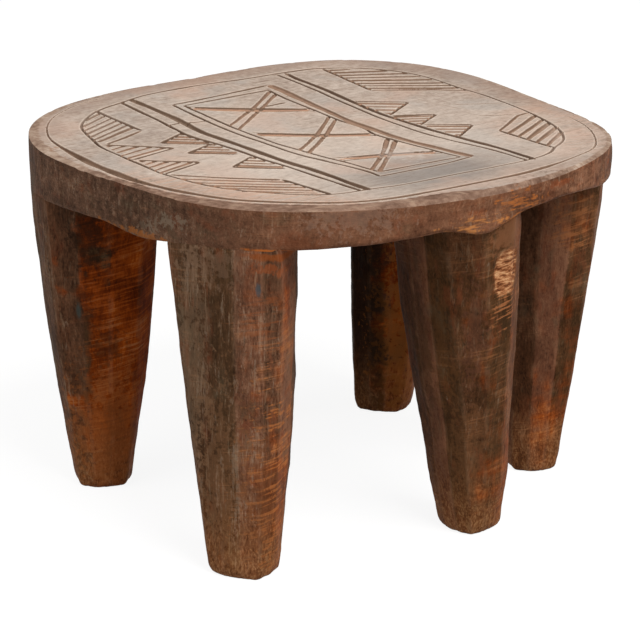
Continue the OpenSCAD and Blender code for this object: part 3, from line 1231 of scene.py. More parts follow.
class WoodGroups:
    """Shader groups that the finishes share."""

    def __init__(self) -> None:
        """Build every group once."""
        self.grain = self.make_grain()
        self.streaks = self.make_streaks()
        self.patina = self.make_patina()
        self.spot = self.make_spot()

    @staticmethod
    def make_grain() -> bpy.types.NodeTree:
        """Build the group for wood fibres that run across the stool, along the log.

        Returns:
            The group.
        """
        group = Group("log_grain", {"Place": Socket.VECTOR, "Fineness": 1.0},
                      dict.fromkeys(("Grain", "Fibre", "Figure"), Socket.NUMBER))
        place = group.vector("SCALE", group.given("Place"), group.given("Fineness"))
        bend = group.cloud(place, 9.0, 1.0)
        bent = group.vector("ADD", place, group.combine((bend - 0.5) * 0.012, 0.0, 0.0))
        return group.give(grain=group.streak(bent, (420.0, 26.0, 420.0), 3.0, 0.6),
                          fibre=group.streak(bent, (1500.0, 75.0, 1500.0), 2.0, 0.6),
                          figure=group.streak(bent, (95.0, 8.0, 95.0), 2.0))

    @staticmethod
    def make_streaks() -> bpy.types.NodeTree:
        """Build the group for upright scrape marks and run-down stains.

        Returns:
            The group.
        """
        names = ("Scrape", "Stain", "Mottle", "Speck", "Ripple", "Scratch")
        group = Group("upright_streaks", {"Place": Socket.VECTOR},
                      dict.fromkeys(names, Socket.NUMBER))
        place = group.given("Place")
        bend = group.cloud(place, 30.0, 1.0) - 0.5
        bent = group.vector("ADD", place, group.combine(0.0, bend * 0.01, bend * 0.03))
        x, y, z = group.separate(place)
        slant = group.combine(x, y, z - x * 0.12 - y * 0.16)
        return group.give(
            scrape=group.streak(bent, (290.0, 290.0, 26.0), 3.0, 0.6, 0.8),
            stain=group.streak(place, (58.0, 58.0, 14.0), 3.0, 0.6),
            mottle=group.streak(place, (150.0, 150.0, 48.0), 5.0, 0.72),
            speck=group.streak(bent, (760.0, 760.0, 330.0), 3.0, 0.65),
            ripple=group.streak(slant, (34.0, 34.0, 480.0), 2.0, 0.55, 0.5),
            scratch=group.streak(bent, (600.0, 600.0, 40.0), 3.0, 0.62, 0.4))

    def make_patina(self) -> bpy.types.NodeTree:
        """Build the group for dark, handled wood: brown, rust where hidden, grey where dusty.

        Returns:
            The group.
        """
        group = Group("dark_patina", {
            "Place": Socket.VECTOR, "Rust": 0.3, "Dust": 0.4, "Shade": 0.2, "Warmth": 0.5,
            "Tone": 0.5},
            {"Color": Socket.COLOUR, "Height": Socket.NUMBER, "Gloss": Socket.NUMBER})
        place, rust, dust, shade, warmth, facet = (group.given(n) for n in (
            "Place", "Rust", "Dust", "Shade", "Warmth", "Tone"))
        wood = group.use(self.grain, place=place, fineness=1.0)
        marks = group.use(self.streaks, place=place)
        scrape, speck, mottle = marks["Scrape"], marks["Speck"], marks["Mottle"]
        lumps = group.cloud(place, 26.0, 3.0, 0.6)
        tone = (mottle * 0.36 + lumps * 0.26 + wood["Grain"] * 0.1 + speck * 0.28
                + (scrape - 0.5) * (dust + 0.08) * 0.5 + (facet - 0.5) * 0.17)
        soft = (lumps * 0.36 + marks["Ripple"] * 0.24 + mottle * 0.22 + speck * 0.18
                + (facet - 0.5) * 0.06)
        cool, ruddy, orange = (
            group.ladder(share, *zip((0.37, 0.46, 0.54, 0.63), colours))
            for share, colours in (
                (tone, ((62, 45, 36), (94, 70, 55), (116, 87, 70), (148, 118, 97))),
                (tone, ((54, 30, 16), (86, 53, 33), (110, 70, 46), (146, 100, 70))),
                (soft, ((70, 26, 3), (118, 48, 6), (160, 72, 14), (216, 122, 50)))))
        tall = group.vector("MULTIPLY", place, (90.0, 90.0, 34.0))
        red = group.ease(group.cloud(tall, 1.0, 4.0, 0.65), 0.52, 0.7)
        beside = group.vector("ADD", tall, (7.0, 3.0, 1.0))
        moss = group.ease(group.cloud(beside, 0.8, 4.0, 0.65), 0.54, 0.72)
        colour = group.coat(
            group.tint(cool, ruddy, warmth),
            ((80, 59, 32), (1.0 - group.ease(facet, 0.16, 0.34)) * 0.38),
            ((118, 75, 58), group.ease(facet, 0.66, 0.84) * 0.42),
            ((128, 66, 40), red * 0.4), ((98, 86, 66), moss * 0.45))
        rusty = group.ease(rust + (marks["Stain"] - 0.5) * 0.9 + (wood["Figure"] - 0.5) * 0.5,
                           0.3, 0.75)
        chatter = group.ease(marks["Ripple"], 0.5, 0.66) * group.ease(lumps, 0.5, 0.62)
        grey = group.ease(dust + (scrape - 0.5) * 2.0 + (speck - 0.5) * 1.0 + (lumps - 0.5) * 0.9,
                          0.52, 0.85)
        nick = group.ease(marks["Scratch"] + (lumps - 0.5) * 0.25, 0.58, 0.68)
        scored = 1.0 - group.ease(marks["Scratch"], 0.34, 0.44)
        pit = 1.0 - group.ease(speck * 0.6 + mottle * 0.4, 0.34, 0.46)
        plain = 1.0 - rusty * 0.75
        # The last coat, near black by Shade, is painted shade.
        colour = group.coat(
            group.tint(colour, orange, rusty),
            ((168, 112, 72), chatter * (rust + 0.25) * 0.5), ((148, 132, 114), grey * 0.42),
            ((170, 142, 114), nick * plain * (dust + 0.1) * 0.6),
            ((34, 20, 12), scored * plain * (dust + 0.15) * 0.6),
            ((40, 24, 14), pit * plain * 0.45), ((16, 9, 5), shade))
        height = (mottle * 0.5 + scrape * 0.3 + marks["Scratch"] * 0.3 + speck * 0.3
                  + marks["Ripple"] * chatter * 0.5 + wood["Grain"] * 0.2)
        return group.give(color=colour, height=height, gloss=0.64 - rusty * 0.05 + grey * 0.15)

    @staticmethod
    def make_spot() -> bpy.types.NodeTree:
        """Build the group for a ragged spot round a point.

        Returns:
            The group.
        """
        group = Group("ragged_spot", {
            "Place": Socket.VECTOR, "Middle": (0.0, 0.0, 0.0), "Size": (1.0, 1.0, 1.0),
            "Ragged": 0.8}, {"Share": Socket.NUMBER})
        place = group.given("Place")
        offset = group.vector("DIVIDE", group.vector("SUBTRACT", place, group.given("Middle")),
                              group.given("Size"))
        far = group.vector("LENGTH", offset, output="Value")
        rough = (group.cloud(place, 210.0, 4.0, 0.65) - 0.5) * group.given("Ragged") * 3.0
        return group.give(share=1.0 - group.ease(far + rough, 0.5, 1.1))


@dataclass(frozen=True)
class Spot:
    """A stain, bare patch, painted shade or painted glint: middle and size in millimetres, colour,
    strength.
    """

    middle: Triple
    size: Triple
    colour: Colour
    strength: float
    ragged: float = 0.8


@dataclass(frozen=True)
class Finish:
    """Shared settings of a wood finish."""

    name: str
    relief: float = 0.5
    relief_depth: float = 0.0006
    specular: float = 0.04

    def start(self) -> tuple[bpy.types.Material, Bench, Formula]:
        """Make the empty material and read the place on the piece."""
        material, bench = empty_material(self.name)
        return material, bench, bench.get("ShaderNodeTexCoord", output="Object")

    def end(self, bench: Bench, colour: Formula, height: Formula, gloss: Formula) -> None:
        """Join colour, relief and gloss to the shader.

        Args:
            bench: The material's bench.
            colour: Colour of the wood.
            height: Its fine relief.
            gloss: Its roughness.
        """
        bump = bench.get("ShaderNodeBump", {
            "Strength": self.relief, "Distance": self.relief_depth, "Height": height})
        surface = bench.get("ShaderNodeBsdfPrincipled", {
            "Specular IOR Level": self.specular, "Base Color": colour, "Roughness": gloss,
            "Normal": bump})
        bench.add("ShaderNodeOutputMaterial", {0: surface})

    @staticmethod
    def stain(bench: Bench, groups: WoodGroups, place: Formula, colour: Formula,
              spots: tuple[Spot, ...], mark: Value = 1.0) -> Formula:
        """Lay spots over a colour.

        Args:
            bench: The material's bench.
            groups: The shared shader groups.
            place: Place on the piece.
            colour: The colour so far.
            spots: The spots.
            mark: How much of each spot is laid at a place.

        Returns:
            The stained colour.
        """
        for spot in spots:
            share = bench.use(groups.spot, place=place, ragged=spot.ragged,
                              middle=tuple(v * METRES for v in spot.middle),
                              size=tuple(v * METRES for v in spot.size))["Share"]
            colour = bench.tint(colour, spot.colour, share * spot.strength * mark)
        return colour

    @staticmethod
    def stored(bench: Bench, *names: str) -> list[Formula]:
        """Return numbers stored on the mesh, by name."""
        return [bench.get("ShaderNodeAttribute", output="Fac", attribute_type="GEOMETRY",
                          attribute_name=name) for name in names]


@dataclass(frozen=True)
class SeatFinish(Finish):
    """Pale weathered sitting face over the dark, scraped side of the rim."""

    name: str = "weathered_seat_wood"
    spots: tuple[Spot, ...] = (
        Spot((38, -186, 235), (9, 9, 5), (132, 116, 98), 0.5, 2.0),
        Spot((60, -183, 243), (12, 9, 5), (136, 120, 102), 0.5, 2.0),
        Spot((14, -184, 236), (22, 14, 22), (48, 32, 20), 0.5, 1.6),
        Spot((64, 6, 257), (20, 17, 10), (212, 203, 196), 0.26, 1.6),
        Spot((138, -145, 234), (34, 30, 1.9), (190, 104, 42), 0.8, 0.4),
        Spot((-62, -186, 246), (7, 7, 12), (150, 92, 44), 0.5, 1.2),
        Spot((-88, -182, 250), (5, 6, 12), (146, 90, 46), 0.45, 1.2),
        # Painted glints along the rim's lower edge, in orange.
        Spot((30, -185, 227), (40, 12, 2.5), (178, 106, 48), 0.5, 2.2),
        Spot((182, 46, 257), (12, 18, 3), (168, 84, 42), 0.45, 1.3),
        Spot((140, -140, 238), (20, 20, 10), (120, 66, 40), 0.35, 1.0),
        Spot((184, 36, 254), (12, 26, 12), (74, 44, 30), 0.42, 1.8),
        Spot((164, -112, 258), (22, 34, 12), (160, 130, 112), 0.28, 1.8),
    )
    grained: tuple[Spot, ...] = (
        Spot((187, 8, 247), (12, 24, 12), (176, 104, 52), 0.8, 1.3),
        Spot((187, -26, 242), (12, 34, 7), (192, 126, 72), 0.85, 1.5),
    )

    def build(self, groups: WoodGroups) -> bpy.types.Material:
        """Make the material.

        Args:
            groups: The shared shader groups.

        Returns:
            The material.
        """
        material, bench, place = self.start()
        wood = bench.use(groups.grain, place=place, fineness=1.25)
        grain = wood["Grain"]
        blotch = bench.cloud(place, 13.0, 4.0, 0.6)
        flecks = bench.cloud(place, 190.0, 4.0, 0.68)
        [on_face] = self.stored(bench, "pale")
        face = bench.ease(on_face, 0.62, 0.85)
        side, dark = self.side(bench, groups, place, blotch)
        smooth = bench.cloud(place, 60.0, 4.0, 0.6) * 0.48 + grain * 0.1 + flecks * 0.42
        ragged = on_face + (blotch - 0.5) * 0.1 + (flecks - 0.5) * 0.25
        colour = bench.tint(side, self.edge(bench, place, smooth), bench.ease(ragged, 0.2, 0.36))
        tone = grain * 0.22 + wood["Fibre"] * 0.22 + blotch * 0.24 + flecks * 0.32
        top = self.top(bench, place, tone, grain)
        colour = bench.tint(colour, self.cuts(bench, top, grain), face)
        colour = self.stain(bench, groups, place, colour, self.spots)
        colour = self.stain(bench, groups, place, colour, self.grained,
                            bench.ease(grain, 0.44, 0.6))
        fine = grain * 0.4 + wood["Fibre"] * 0.3 + flecks * 0.4
        self.end(bench, colour, bench.blend(dark["Height"], fine, face),
                 bench.blend(dark["Gloss"], 0.6, face))
        return material

    def top(self, bench: Bench, place: Formula, tone: Formula, grain: Formula) -> Formula:
        """Colour the pale sitting face.

        Args:
            bench: The material's bench.
            place: Place on the piece.
            tone: How light the wood is.
            grain: Its grain.

        Returns:
            The colour.
        """
        pale = bench.ladder(tone, (0.38, (134, 115, 103)), (0.46, (168, 150, 137)),
                            (0.53, (187, 170, 157)), (0.63, (210, 196, 184)))
        cold, gloom, sun, stained = self.stored(bench, "cold", "gloom", "sun", "stained")
        chill = bench.ease(bench.cloud(place, 24.0, 3.0), 0.48, 0.66)
        beside = bench.vector("ADD", place, (0.4, 0.1, 0.2))
        pink = bench.ease(bench.cloud(beside, 20.0, 3.0), 0.48, 0.68)
        pore = bench.streak(place, (950.0, 170.0, 950.0), 3.0, 0.6)
        crack = bench.streak(place, (240.0, 14.0, 240.0), 3.0, 0.6)
        return bench.coat(
            pale, ((166, 161, 156), chill * 0.4), ((138, 131, 126), cold * 0.78),
            # Of these coats, gloom is painted shade and the pale one after it is painted light.
            ((196, 160, 140), pink * 0.4), ((150, 122, 106), gloom * 0.5),
            ((220, 205, 192), sun * 0.42),
            ((184, 124, 88), stained * bench.ease(grain, 0.35, 0.6) * 0.36),
            ((112, 90, 76), bench.ease(pore, 0.56, 0.68) * 0.4),
            ((120, 98, 84), bench.ease(crack, 0.6, 0.7) * 0.3))

    def cuts(self, bench: Bench, top: Formula, grain: Formula) -> Formula:
        """Colour the cuts: lips with painted highlight, floors, and walls with painted shade and
        dirt.

        Args:
            bench: The material's bench.
            top: Colour of the face.
            grain: Its grain.

        Returns:
            The face's colour with its cuts.
        """
        cut, wall, warmth, lip, faded = self.stored(bench, "cut", "wall", "warmth", "lip", "faded")
        floor = bench.coat(
            (122, 101, 84), ((184, 138, 110), warmth),
            ((108, 86, 70), bench.ease(grain, 0.5, 0.36) * 0.4),
            ((98, 74, 54), bench.ease(cut, 1.9, 2.5) * 0.7))
        # Painted highlight, with wear, on the lips beside the cuts.
        top = bench.coat(top, ((222, 206, 190), lip * 0.5))
        top = bench.tint(top, floor, bench.ease(cut, 0.12, 0.5) * (0.87 - faded * 0.5))
        # Painted shade, with dirt, on the walls of the cuts.
        return bench.coat(top, ((96, 74, 59), wall * (0.8 - faded * 0.52)))

    def edge(self, bench: Bench, place: Formula, smooth: Formula) -> Formula:
        """Colour the worn top edge, which is browner at the front.

        Args:
            bench: The material's bench.
            place: Place on the piece.
            smooth: How light the wood is.

        Returns:
            The colour.
        """
        x, y, _ = bench.separate(place)
        light, brown = (bench.ladder(smooth, *zip((0.4, 0.5, 0.6), colours)) for colours in (
            ((128, 103, 88), (158, 134, 117), (184, 164, 148)),
            ((104, 78, 64), (130, 102, 86), (158, 131, 112))))
        return bench.tint(light, brown, bench.ease(x * 0.7 - y * 0.6, 0.085, 0.125))

    def side(self, bench: Bench, groups: WoodGroups, place: Formula,
             blotch: Formula) -> tuple[Formula, dict[str, Formula]]:
        """Colour the scraped side of the rim, redder at the right and lighter there with painted
        light.

        Args:
            bench: The material's bench.
            groups: The shared shader groups.
            place: Place on the piece.
            blotch: Broad noise of the wood.

        Returns:
            The colour, and the dark patina beneath it.
        """
        x, y, _ = bench.separate(place)
        right = bench.ease(x, 0.03, 0.17)
        level = bench.vector("MULTIPLY", place, (0.8, 0.8, 2.3))
        # The patina's shade here is painted shade, strongest at the left of the rim.
        dark = bench.use(groups.patina, place=level, rust=right * 0.14 + 0.1, dust=0.3,
                         shade=0.2 - right * 0.2, warmth=right * 0.35 + 0.25)
        rough = bench.streak(place, (420.0, 420.0, 300.0), 4.0, 0.7)
        lumps = bench.cloud(level, 62.0, 4.0, 0.65)
        contrast = 0.55 + bench.ease(y, -0.02, 0.05) * 0.75
        mixed = (rough * 0.34 + blotch * 0.2 + lumps * 0.46 - 0.5) * contrast + 0.5
        lit = bench.ladder(mixed, (0.43, (86, 48, 32)), (0.5, (136, 88, 64)),
                           (0.58, (186, 130, 98)))
        # lit is painted light, laid on the right of the rim.
        return bench.tint(dark["Color"], lit, right * 0.34), dark


@dataclass(frozen=True)
class LegFinish(Finish):
    """Hewn brown wood, grey and scraped outside and rust-red on the hidden sides."""

    name: str = "hewn_leg_wood"
    relief: float = 0.7
    relief_depth: float = 0.0008
    spots: tuple[Spot, ...] = (
        Spot((-70, -178, 145), (2.4, 2.4, 8), (62, 92, 92), 0.6, 0.5),
        Spot((124, -159, 208), (2.4, 2.4, 5), (58, 84, 92), 0.6, 0.5),
        Spot((126, -151, 222), (16, 12, 4), (168, 78, 26), 0.35, 1.6),
        Spot((136, -147, 230), (34, 30, 3), (150, 76, 28), 0.6, 0.6),
        Spot((185, 6, 233), (14, 24, 22), (142, 94, 64), 0.6, 0.9),
        Spot((-62, -160, 44), (34, 34, 60), (170, 98, 50), 0.42, 1.2),
        Spot((77, -182, 150), (15, 20, 110), (152, 124, 98), 0.24, 1.6),
        Spot((106, -172, 165), (13, 14, 66), (52, 34, 22), 0.26, 2.4),
        Spot((122, -160, 60), (10, 12, 44), (70, 44, 26), 0.3, 2.0),
        Spot((172, -16, 150), (8, 9, 74), (116, 74, 58), 0.28, 1.4),
        Spot((150, -28, 150), (11, 12, 80), (112, 74, 42), 0.3, 1.6),
        Spot((100, -175, 66), (22, 16, 60), (140, 100, 70), 0.3, 2.2),
        Spot((100, -178, 222), (30, 14, 16), (140, 108, 86), 0.3, 1.8),
        Spot((128, -156, 60), (18, 18, 46), (150, 88, 52), 0.2, 1.6),
        Spot((-61, 105, 66), (18, 22, 70), (166, 102, 48), 0.66, 1.8),
        # Painted shade on a leg's dark left facet, turned away from the light.
        Spot((-71, 92, 90), (8, 10, 130), (30, 21, 13), 0.66, 0.6),
        Spot((115, 128, 205), (16, 22, 18), (150, 100, 66), 0.3, 1.6),
        Spot((158, -6, 70), (18, 18, 34), (124, 84, 54), 0.28, 1.6),
        # Painted shadow under the rim, near the top of the front left leg (two spots).
        Spot((-63, -174, 200), (12, 15, 26), (40, 24, 14), 0.55, 1.3),
        Spot((-59, -166, 198), (15, 16, 16), (44, 24, 12), 0.4, 1.5),
        Spot((-70, -176, 120), (7, 7, 70), (62, 42, 28), 0.4, 1.9),
        Spot((-61, -162, 116), (11, 12, 15), (54, 32, 17), 0.45, 1.7),
        Spot((131, -26, 145), (9, 13, 90), (60, 43, 22), 0.42, 1.1),
    )
    rippled: tuple[Spot, ...] = (
        Spot((178, 4, 179), (12, 14, 20), (176, 112, 70), 0.75, 0.8),
        Spot((115, 125, 199), (15, 15, 22), (172, 106, 62), 0.6, 1.2),
        Spot((-54, -140, 168), (34, 36, 46), (166, 82, 30), 0.5, 1.2),
        Spot((-62, -160, 100), (24, 22, 36), (168, 98, 52), 0.45, 1.2),
        Spot((128, -160, 185), (22, 16, 22), (160, 84, 40), 0.28, 1.2),
        Spot((129, -152, 70), (18, 22, 62), (198, 122, 66), 0.52, 1.8),
    )

    def build(self, groups: WoodGroups) -> bpy.types.Material:
        """Make the material.

        Args:
            groups: The shared shader groups.

        Returns:
            The material.
        """
        material, bench, place = self.start()
        rust, dust, shade, warmth, tone, arris, patch = self.stored(
            bench, "rust", "dust", "shade", "warmth", "stain", "arris", "patch")
        _, _, z = bench.separate(place)
        low = 1.0 - bench.ease(z, 0.02, 0.14)
        dark = bench.use(groups.patina, place=place, rust=rust + low * 0.12,
                         dust=dust + arris * 0.08, shade=shade, warmth=warmth + low * 0.4,
                         tone=tone)
        marks = bench.use(groups.streaks, place=place)
        mottle = marks["Mottle"]
        foot = 1.0 - bench.ease(z + (mottle - 0.5) * 0.12, 0.0, 0.07)
        scuffed = bench.ladder(mottle * 0.5 + marks["Speck"] * 0.5, (0.4, (96, 56, 30)),
                               (0.5, (140, 88, 52)), (0.6, (188, 138, 92)))
        colour = bench.tint(dark["Color"], scuffed, foot * 0.65)
        ripple = bench.ease(marks["Ripple"] + (mottle - 0.5) * 0.5, 0.49, 0.6)
        colour = self.stain(bench, groups, place, colour, self.rippled, ripple)
        line = bench.ease(arris, 0.55, 0.95)
        worn = bench.ease(arris, 0.02, 0.3) * (1.0 - line) * bench.ease(
            bench.cloud(place, 60.0, 3.0), 0.42, 0.6)
        colour = bench.coat(colour, ((150, 114, 88), worn * 0.18), ((36, 22, 14), line * 0.45))
        raw = bench.streak(place, (260.0, 130.0, 520.0), 4.0, 0.7)
        bare = bench.ladder(raw, (0.38, (84, 44, 24)), (0.46, (142, 86, 52)),
                            (0.54, (190, 130, 88)), (0.64, (222, 172, 126)))
        colour = bench.tint(colour, bare, patch)
        colour = self.stain(bench, groups, place, colour, self.spots)
        self.end(bench, colour, dark["Height"], dark["Gloss"])
        return material


@dataclass(frozen=True)
class LegCut:
    """How one leg was hewn: where it stands and how it differs from the others.

    Rust gives its plain and rustiest share and the turn of the rustiest side from outward, in
    degrees. Shade gives the share and the turn of the darkest side, which has painted shade.
    """

    node: str
    foot_bearing: float
    foot_reach: float
    head_bearing: float
    head_reach: float
    foot_share: float
    head_width_share: float
    head_depth_share: float
    belly_share: float
    rust: Triple
    shade: Point
    dust: float
    warmth: float
    fuller: float = 0.0
    patch_place: Triple = (0.0, 0.0, 0.0)
    patch_size: Triple = (1.0, 1.0, 1.0)
    patch_depth: float = 0.0


@dataclass(frozen=True)
class HewnLeg:
    """One leg, hewn with an edge tool from a shared rule."""

    cut: LegCut
    seed: int
    foot_width: float = 44.0
    foot_depth: float = 41.0
    head_width: float = 84.0
    head_depth: float = 86.0
    belly: float = 3.0
    squareness: float = 3.2
    foot_edge: float = 3.0
    arris_wander: float = 6.0
    arris_wear: float = 0.7
    waver: float = 1.0
    mark_width: float = 15.0
    mark_length: float = 48.0
    mark_depth: float = 0.9

    def flush_bearings(self, form: StoolForm) -> Point | None:
        """Find where the head of the leg is cut off by the rim.

        Args:
            form: Form of the seat.

        Returns:
            First and last bearing from the middle of the outline, in radians, or None.
        """
        cut = self.cut
        turn = np.radians(np.arange(0, 360, 1.0))
        radius = rounded(turn, self.head_depth * cut.head_depth_share / 2,
                         self.head_width * cut.head_width_share / 2, self.squareness)
        bearing = math.radians(cut.head_bearing)
        away = np.array((math.cos(bearing), math.sin(bearing)))
        along = np.array((-away[1], away[0]))
        head = cut.head_reach * away
        around, distance = form.polar(head + np.outer(radius * np.cos(turn), away)
                                      + np.outer(radius * np.sin(turn), along))
        outside = distance > form.reach(around)
        if not outside.any():
            return None
        middle = float(form.polar(head)[0])
        offset = wrapped(around[outside] - middle)
        return middle + float(offset.min()), middle + float(offset.max())

    def build(self, trees: ShapeTrees, material: bpy.types.Material) -> bpy.types.Object:
        """Shape the leg.

        Args:
            trees: The geometry trees.
            material: The leg's finish.

        Returns:
            The finished leg.
        """
        cut = self.cut
        values = {field.name: getattr(part, field.name)
                  for part in (self, cut) for field in fields(part)}
        values.update(
            foot_bearing=math.radians(cut.foot_bearing),
            foot_width=self.foot_width * cut.foot_share,
            foot_depth=self.foot_depth * cut.foot_share,
            head_bearing=math.radians(cut.head_bearing),
            head_width=self.head_width * cut.head_width_share,
            head_depth=self.head_depth * cut.head_depth_share,
            belly=self.belly * cut.belly_share, rust_low=cut.rust[0], rust_high=cut.rust[1],
            rust_turn=math.radians(cut.rust[2]), shade_high=cut.shade[0],
            shade_turn=math.radians(cut.shade[1]), seed=float(self.seed), finish=material)
        blank = new_piece("leg_blank", np.zeros((1, 3)), [])
        return settle(f"hewn_{cut.node}", blank, trees.leg,
                      {titled(name): value for name, value in values.items()})

    def dress(self, piece: bpy.types.Object) -> None:
        """Let the leg ride on the stool and stand for its solid."""
        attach(piece, "root")
        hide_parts(self.cut.node)


class Shell:
    """A closed surface that is gathered ring by ring, with numbers stored on its points."""

    def __init__(self, count: int) -> None:
        """Start empty.

        Args:
            count: How many points a ring has.
        """
        self.count = count
        self.total = 0
        self.points: list[np.ndarray] = []
        self.faces: list[list[int]] = []
        self.stored: dict[str, list[np.ndarray]] = {"face": [], "pale": [], "dressed": []}
        self.ring = np.arange(count)

    def add(self, plan: np.ndarray, height: np.ndarray,
            **stored: np.ndarray | float) -> np.ndarray:
        """Add points.

        Args:
            plan: Their places in plan.
            height: Their heights.
            stored: What is stored on them, where it isn't nought.

        Returns:
            The numbers of the new points.
        """
        self.points.append(np.column_stack((plan, height)))
        for name, kept in self.stored.items():
            kept.append(np.zeros(len(plan)) + stored.get(name, 0.0))
        start, self.total = self.total, self.total + len(plan)
        return np.arange(start, self.total)

    def add_ring(self, plan: np.ndarray, height: np.ndarray,
                 **stored: np.ndarray | float) -> None:
        """Add a ring of points below the last one and join the two.

        Args:
            plan: Their places in plan.
            height: Their heights.
            stored: What is stored on them, where it isn't nought.
        """
        above, self.ring = self.ring, self.add(plan, height, **stored)
        after = np.roll(np.arange(self.count), -1)
        self.faces += [[int(above[i]), int(self.ring[i]), int(self.ring[j]), int(above[j])]
                       for i, j in enumerate(after)]


@dataclass(frozen=True)
class Glow:
    """A place on the face that fades out round its middle."""

    strength: float
    middle: Point
    size: Point

    def share(self, points: np.ndarray) -> np.ndarray:
        """Find how strong it is.

        Args:
            points: Points of the face.

        Returns:
            Its strength at each.
        """
        (x, y), (wide, deep) = self.middle, self.size
        return self.strength * np.exp(-((points[:, 0] - x) / wide) ** 2
                                      - ((points[:, 1] - y) / deep) ** 2)


@dataclass(frozen=True)
class CarvedSeat:
    """The seat: sagging incised face, worn top edge, scraped side and sloping underside.

    An edge step has its share of the edge's width, its share of the drop, and how pale it is.
    The worn band has its width at each bearing in degrees.
    """

    form: StoolForm
    carving: Carving
    flush: list[Point]
    around: int = 720
    face_spacing: float = 3.0
    base_spacing: float = 7.0
    row_share: float = 0.866
    grid_share: float = 0.6
    cut_inset: float = 0.9
    face_inset: float = 1.6
    base_inset: float = 5.0
    noise_radius: float = 190.0
    edge_steps: tuple[Triple, ...] = (
        (0.9, 0.03, 1.0), (0.8, 0.12, 0.8), (0.66, 0.28, 0.52), (0.44, 0.52, 0.5),
        (0.24, 0.74, 0.48), (0.1, 0.9, 0.42), (0.02, 0.99, 0.3), (0.0, 1.08, 0.05))
    side_rings: int = 15
    foot_rings: int = 3
    edge_drop: float = 0.4
    edge_wear: float = 3.3
    edge_wear_bearing: float = -3.0
    edge_wear_spread: float = 0.38
    edge_round: float = 2.6
    worn_band: tuple[Point, ...] = (
        (-180, 2), (-140, 3), (-125, 6), (-110, 8), (-101, 5.2), (-95, 6), (-78, 7.2), (-65, 12),
        (-53, 16.5), (-43, 17), (-33, 13.5), (-23, 14.5), (-12, 14), (-5, 6), (3, 3), (21, 3.5),
        (60, 3), (180, 2))
    fuller: float = 1.5
    fuller_bearing: float = 232.0
    fuller_spread: float = 0.42
    lower_round: float = 3.0
    side_waver: float = 0.7
    face_waver: float = 0.35
    cut_offsets: tuple[float, ...] = (0.0, 0.3, 0.6, 0.8, 0.98)
    lip_offsets: tuple[float, ...] = (0.35, 1.2)
    cut_gap: float = 0.42
    clearance: float = 1.5
    lip_height: float = 0.25
    mark_width: float = 8.0
    mark_length: float = 70.0
    mark_depth: float = 0.6
    seed: float = 3.0
    cold: tuple[Glow, ...] = (Glow(1.35, (116, -12), (50, 60)), Glow(0.3, (-100, -115), (40, 30)))
    # The next two are painted shade (gloom) and painted light on the sitting face.
    gloom: tuple[Glow, ...] = (Glow(1.0, (160, 58), (24, 32)),)
    sun: tuple[Glow, ...] = (Glow(0.7, (-5, -60), (85, 80)), Glow(0.5, (50, 15), (30, 25)))
    faded_ring: Glow = Glow(1.0, (112, 125), (55, 55))
    faded: Glow = Glow(0.8, (-135, -140), (40, 40))

    def cut_guides(self) -> tuple[list[bpy.types.Object], np.ndarray]:
        """Make the guide lines of every cut.

        Returns:
            One object of guide lines for each layer, and points beside the cuts that the face's
            mesh has to pass through.
        """
        tracks: list[list] = [[] for _ in range(CUT_LAYERS)]
        beside = []
        for line in self.carving.lines():
            walk, half, deep = line.stations()
            tracks[line.layer].append((walk, half, deep, line.blade.value))
            left = ways(walk)[1]
            rows = [half * offset for offset in self.cut_offsets]
            rows += [half + offset for offset in self.lip_offsets]
            beside += [walk + left * (row * side)[:, None] for row in rows for side in (1, -1)]
        guides = []
        for layer, runs in enumerate(tracks, 1):
            points, edges = [], []
            stored: dict[str, list] = {name: [] for name in GUIDE_VALUES}
            for walk, half, deep, cut in runs:
                start, count = len(points), len(walk)
                points += [(x, y, 0.0) for x, y in walk]
                edges += [(start + i, start + i + 1) for i in range(count - 1)]
                for name, numbers in zip(GUIDE_VALUES, (
                        half, deep, [cut.flat] * count, [cut.warmth] * count)):
                    stored[name] += list(numbers)
            guides.append(new_piece(f"cut_guide_{layer}", np.array(points), [], edges, **stored))
        return guides, np.vstack(beside)

    def thin_out(self, points: np.ndarray) -> np.ndarray:
        """Leave out points that nearly coincide with an earlier one.

        Args:
            points: The points.

        Returns:
            The points that stay.
        """
        seen: dict[tuple[int, int], int] = {}
        for i, key in enumerate(map(tuple, np.floor(points / self.cut_gap).astype(int))):
            seen.setdefault(key, i)
        return points[sorted(seen.values())]

    def inside(self, points: np.ndarray, inset: float) -> np.ndarray:
        """Return the points that lie inside the top edge by at least the inset."""
        around, distance = self.form.polar(points)
        return points[distance < self.form.reach(around) - self.edge_width(around) - inset]

    def rim(self, angle: np.ndarray, inset: np.ndarray | float = 0.0) -> np.ndarray:
        """Find points of the outline, which is a little fuller over the front left leg.

        Args:
            angle: Their bearings.
            inset: How far they are moved inwards.

        Returns:
            The points.
        """
        turn = wrapped(angle - math.radians(self.fuller_bearing))
        swell = self.fuller * np.exp(-(turn / self.fuller_spread) ** 2)
        return self.form.rim(angle, inset - swell)

    def circle(self, angle: np.ndarray) -> np.ndarray:
        """Return points of a plain circle about as wide as the seat, where noise is read."""
        return np.stack((np.cos(angle), np.sin(angle), np.zeros_like(angle)),
                        -1) * self.noise_radius

    def edge_width(self, angle: np.ndarray) -> np.ndarray:
        """Find the hand-worn width of the top edge.

        Args:
            angle: The bearings.

        Returns:
            The width at each.
        """
        circle = self.circle(angle)
        return self.edge_round * (1 + 0.35 * roughen(circle, 34.0, 2.0)
                                  + 0.15 * roughen(circle, 11.0, 5.0))

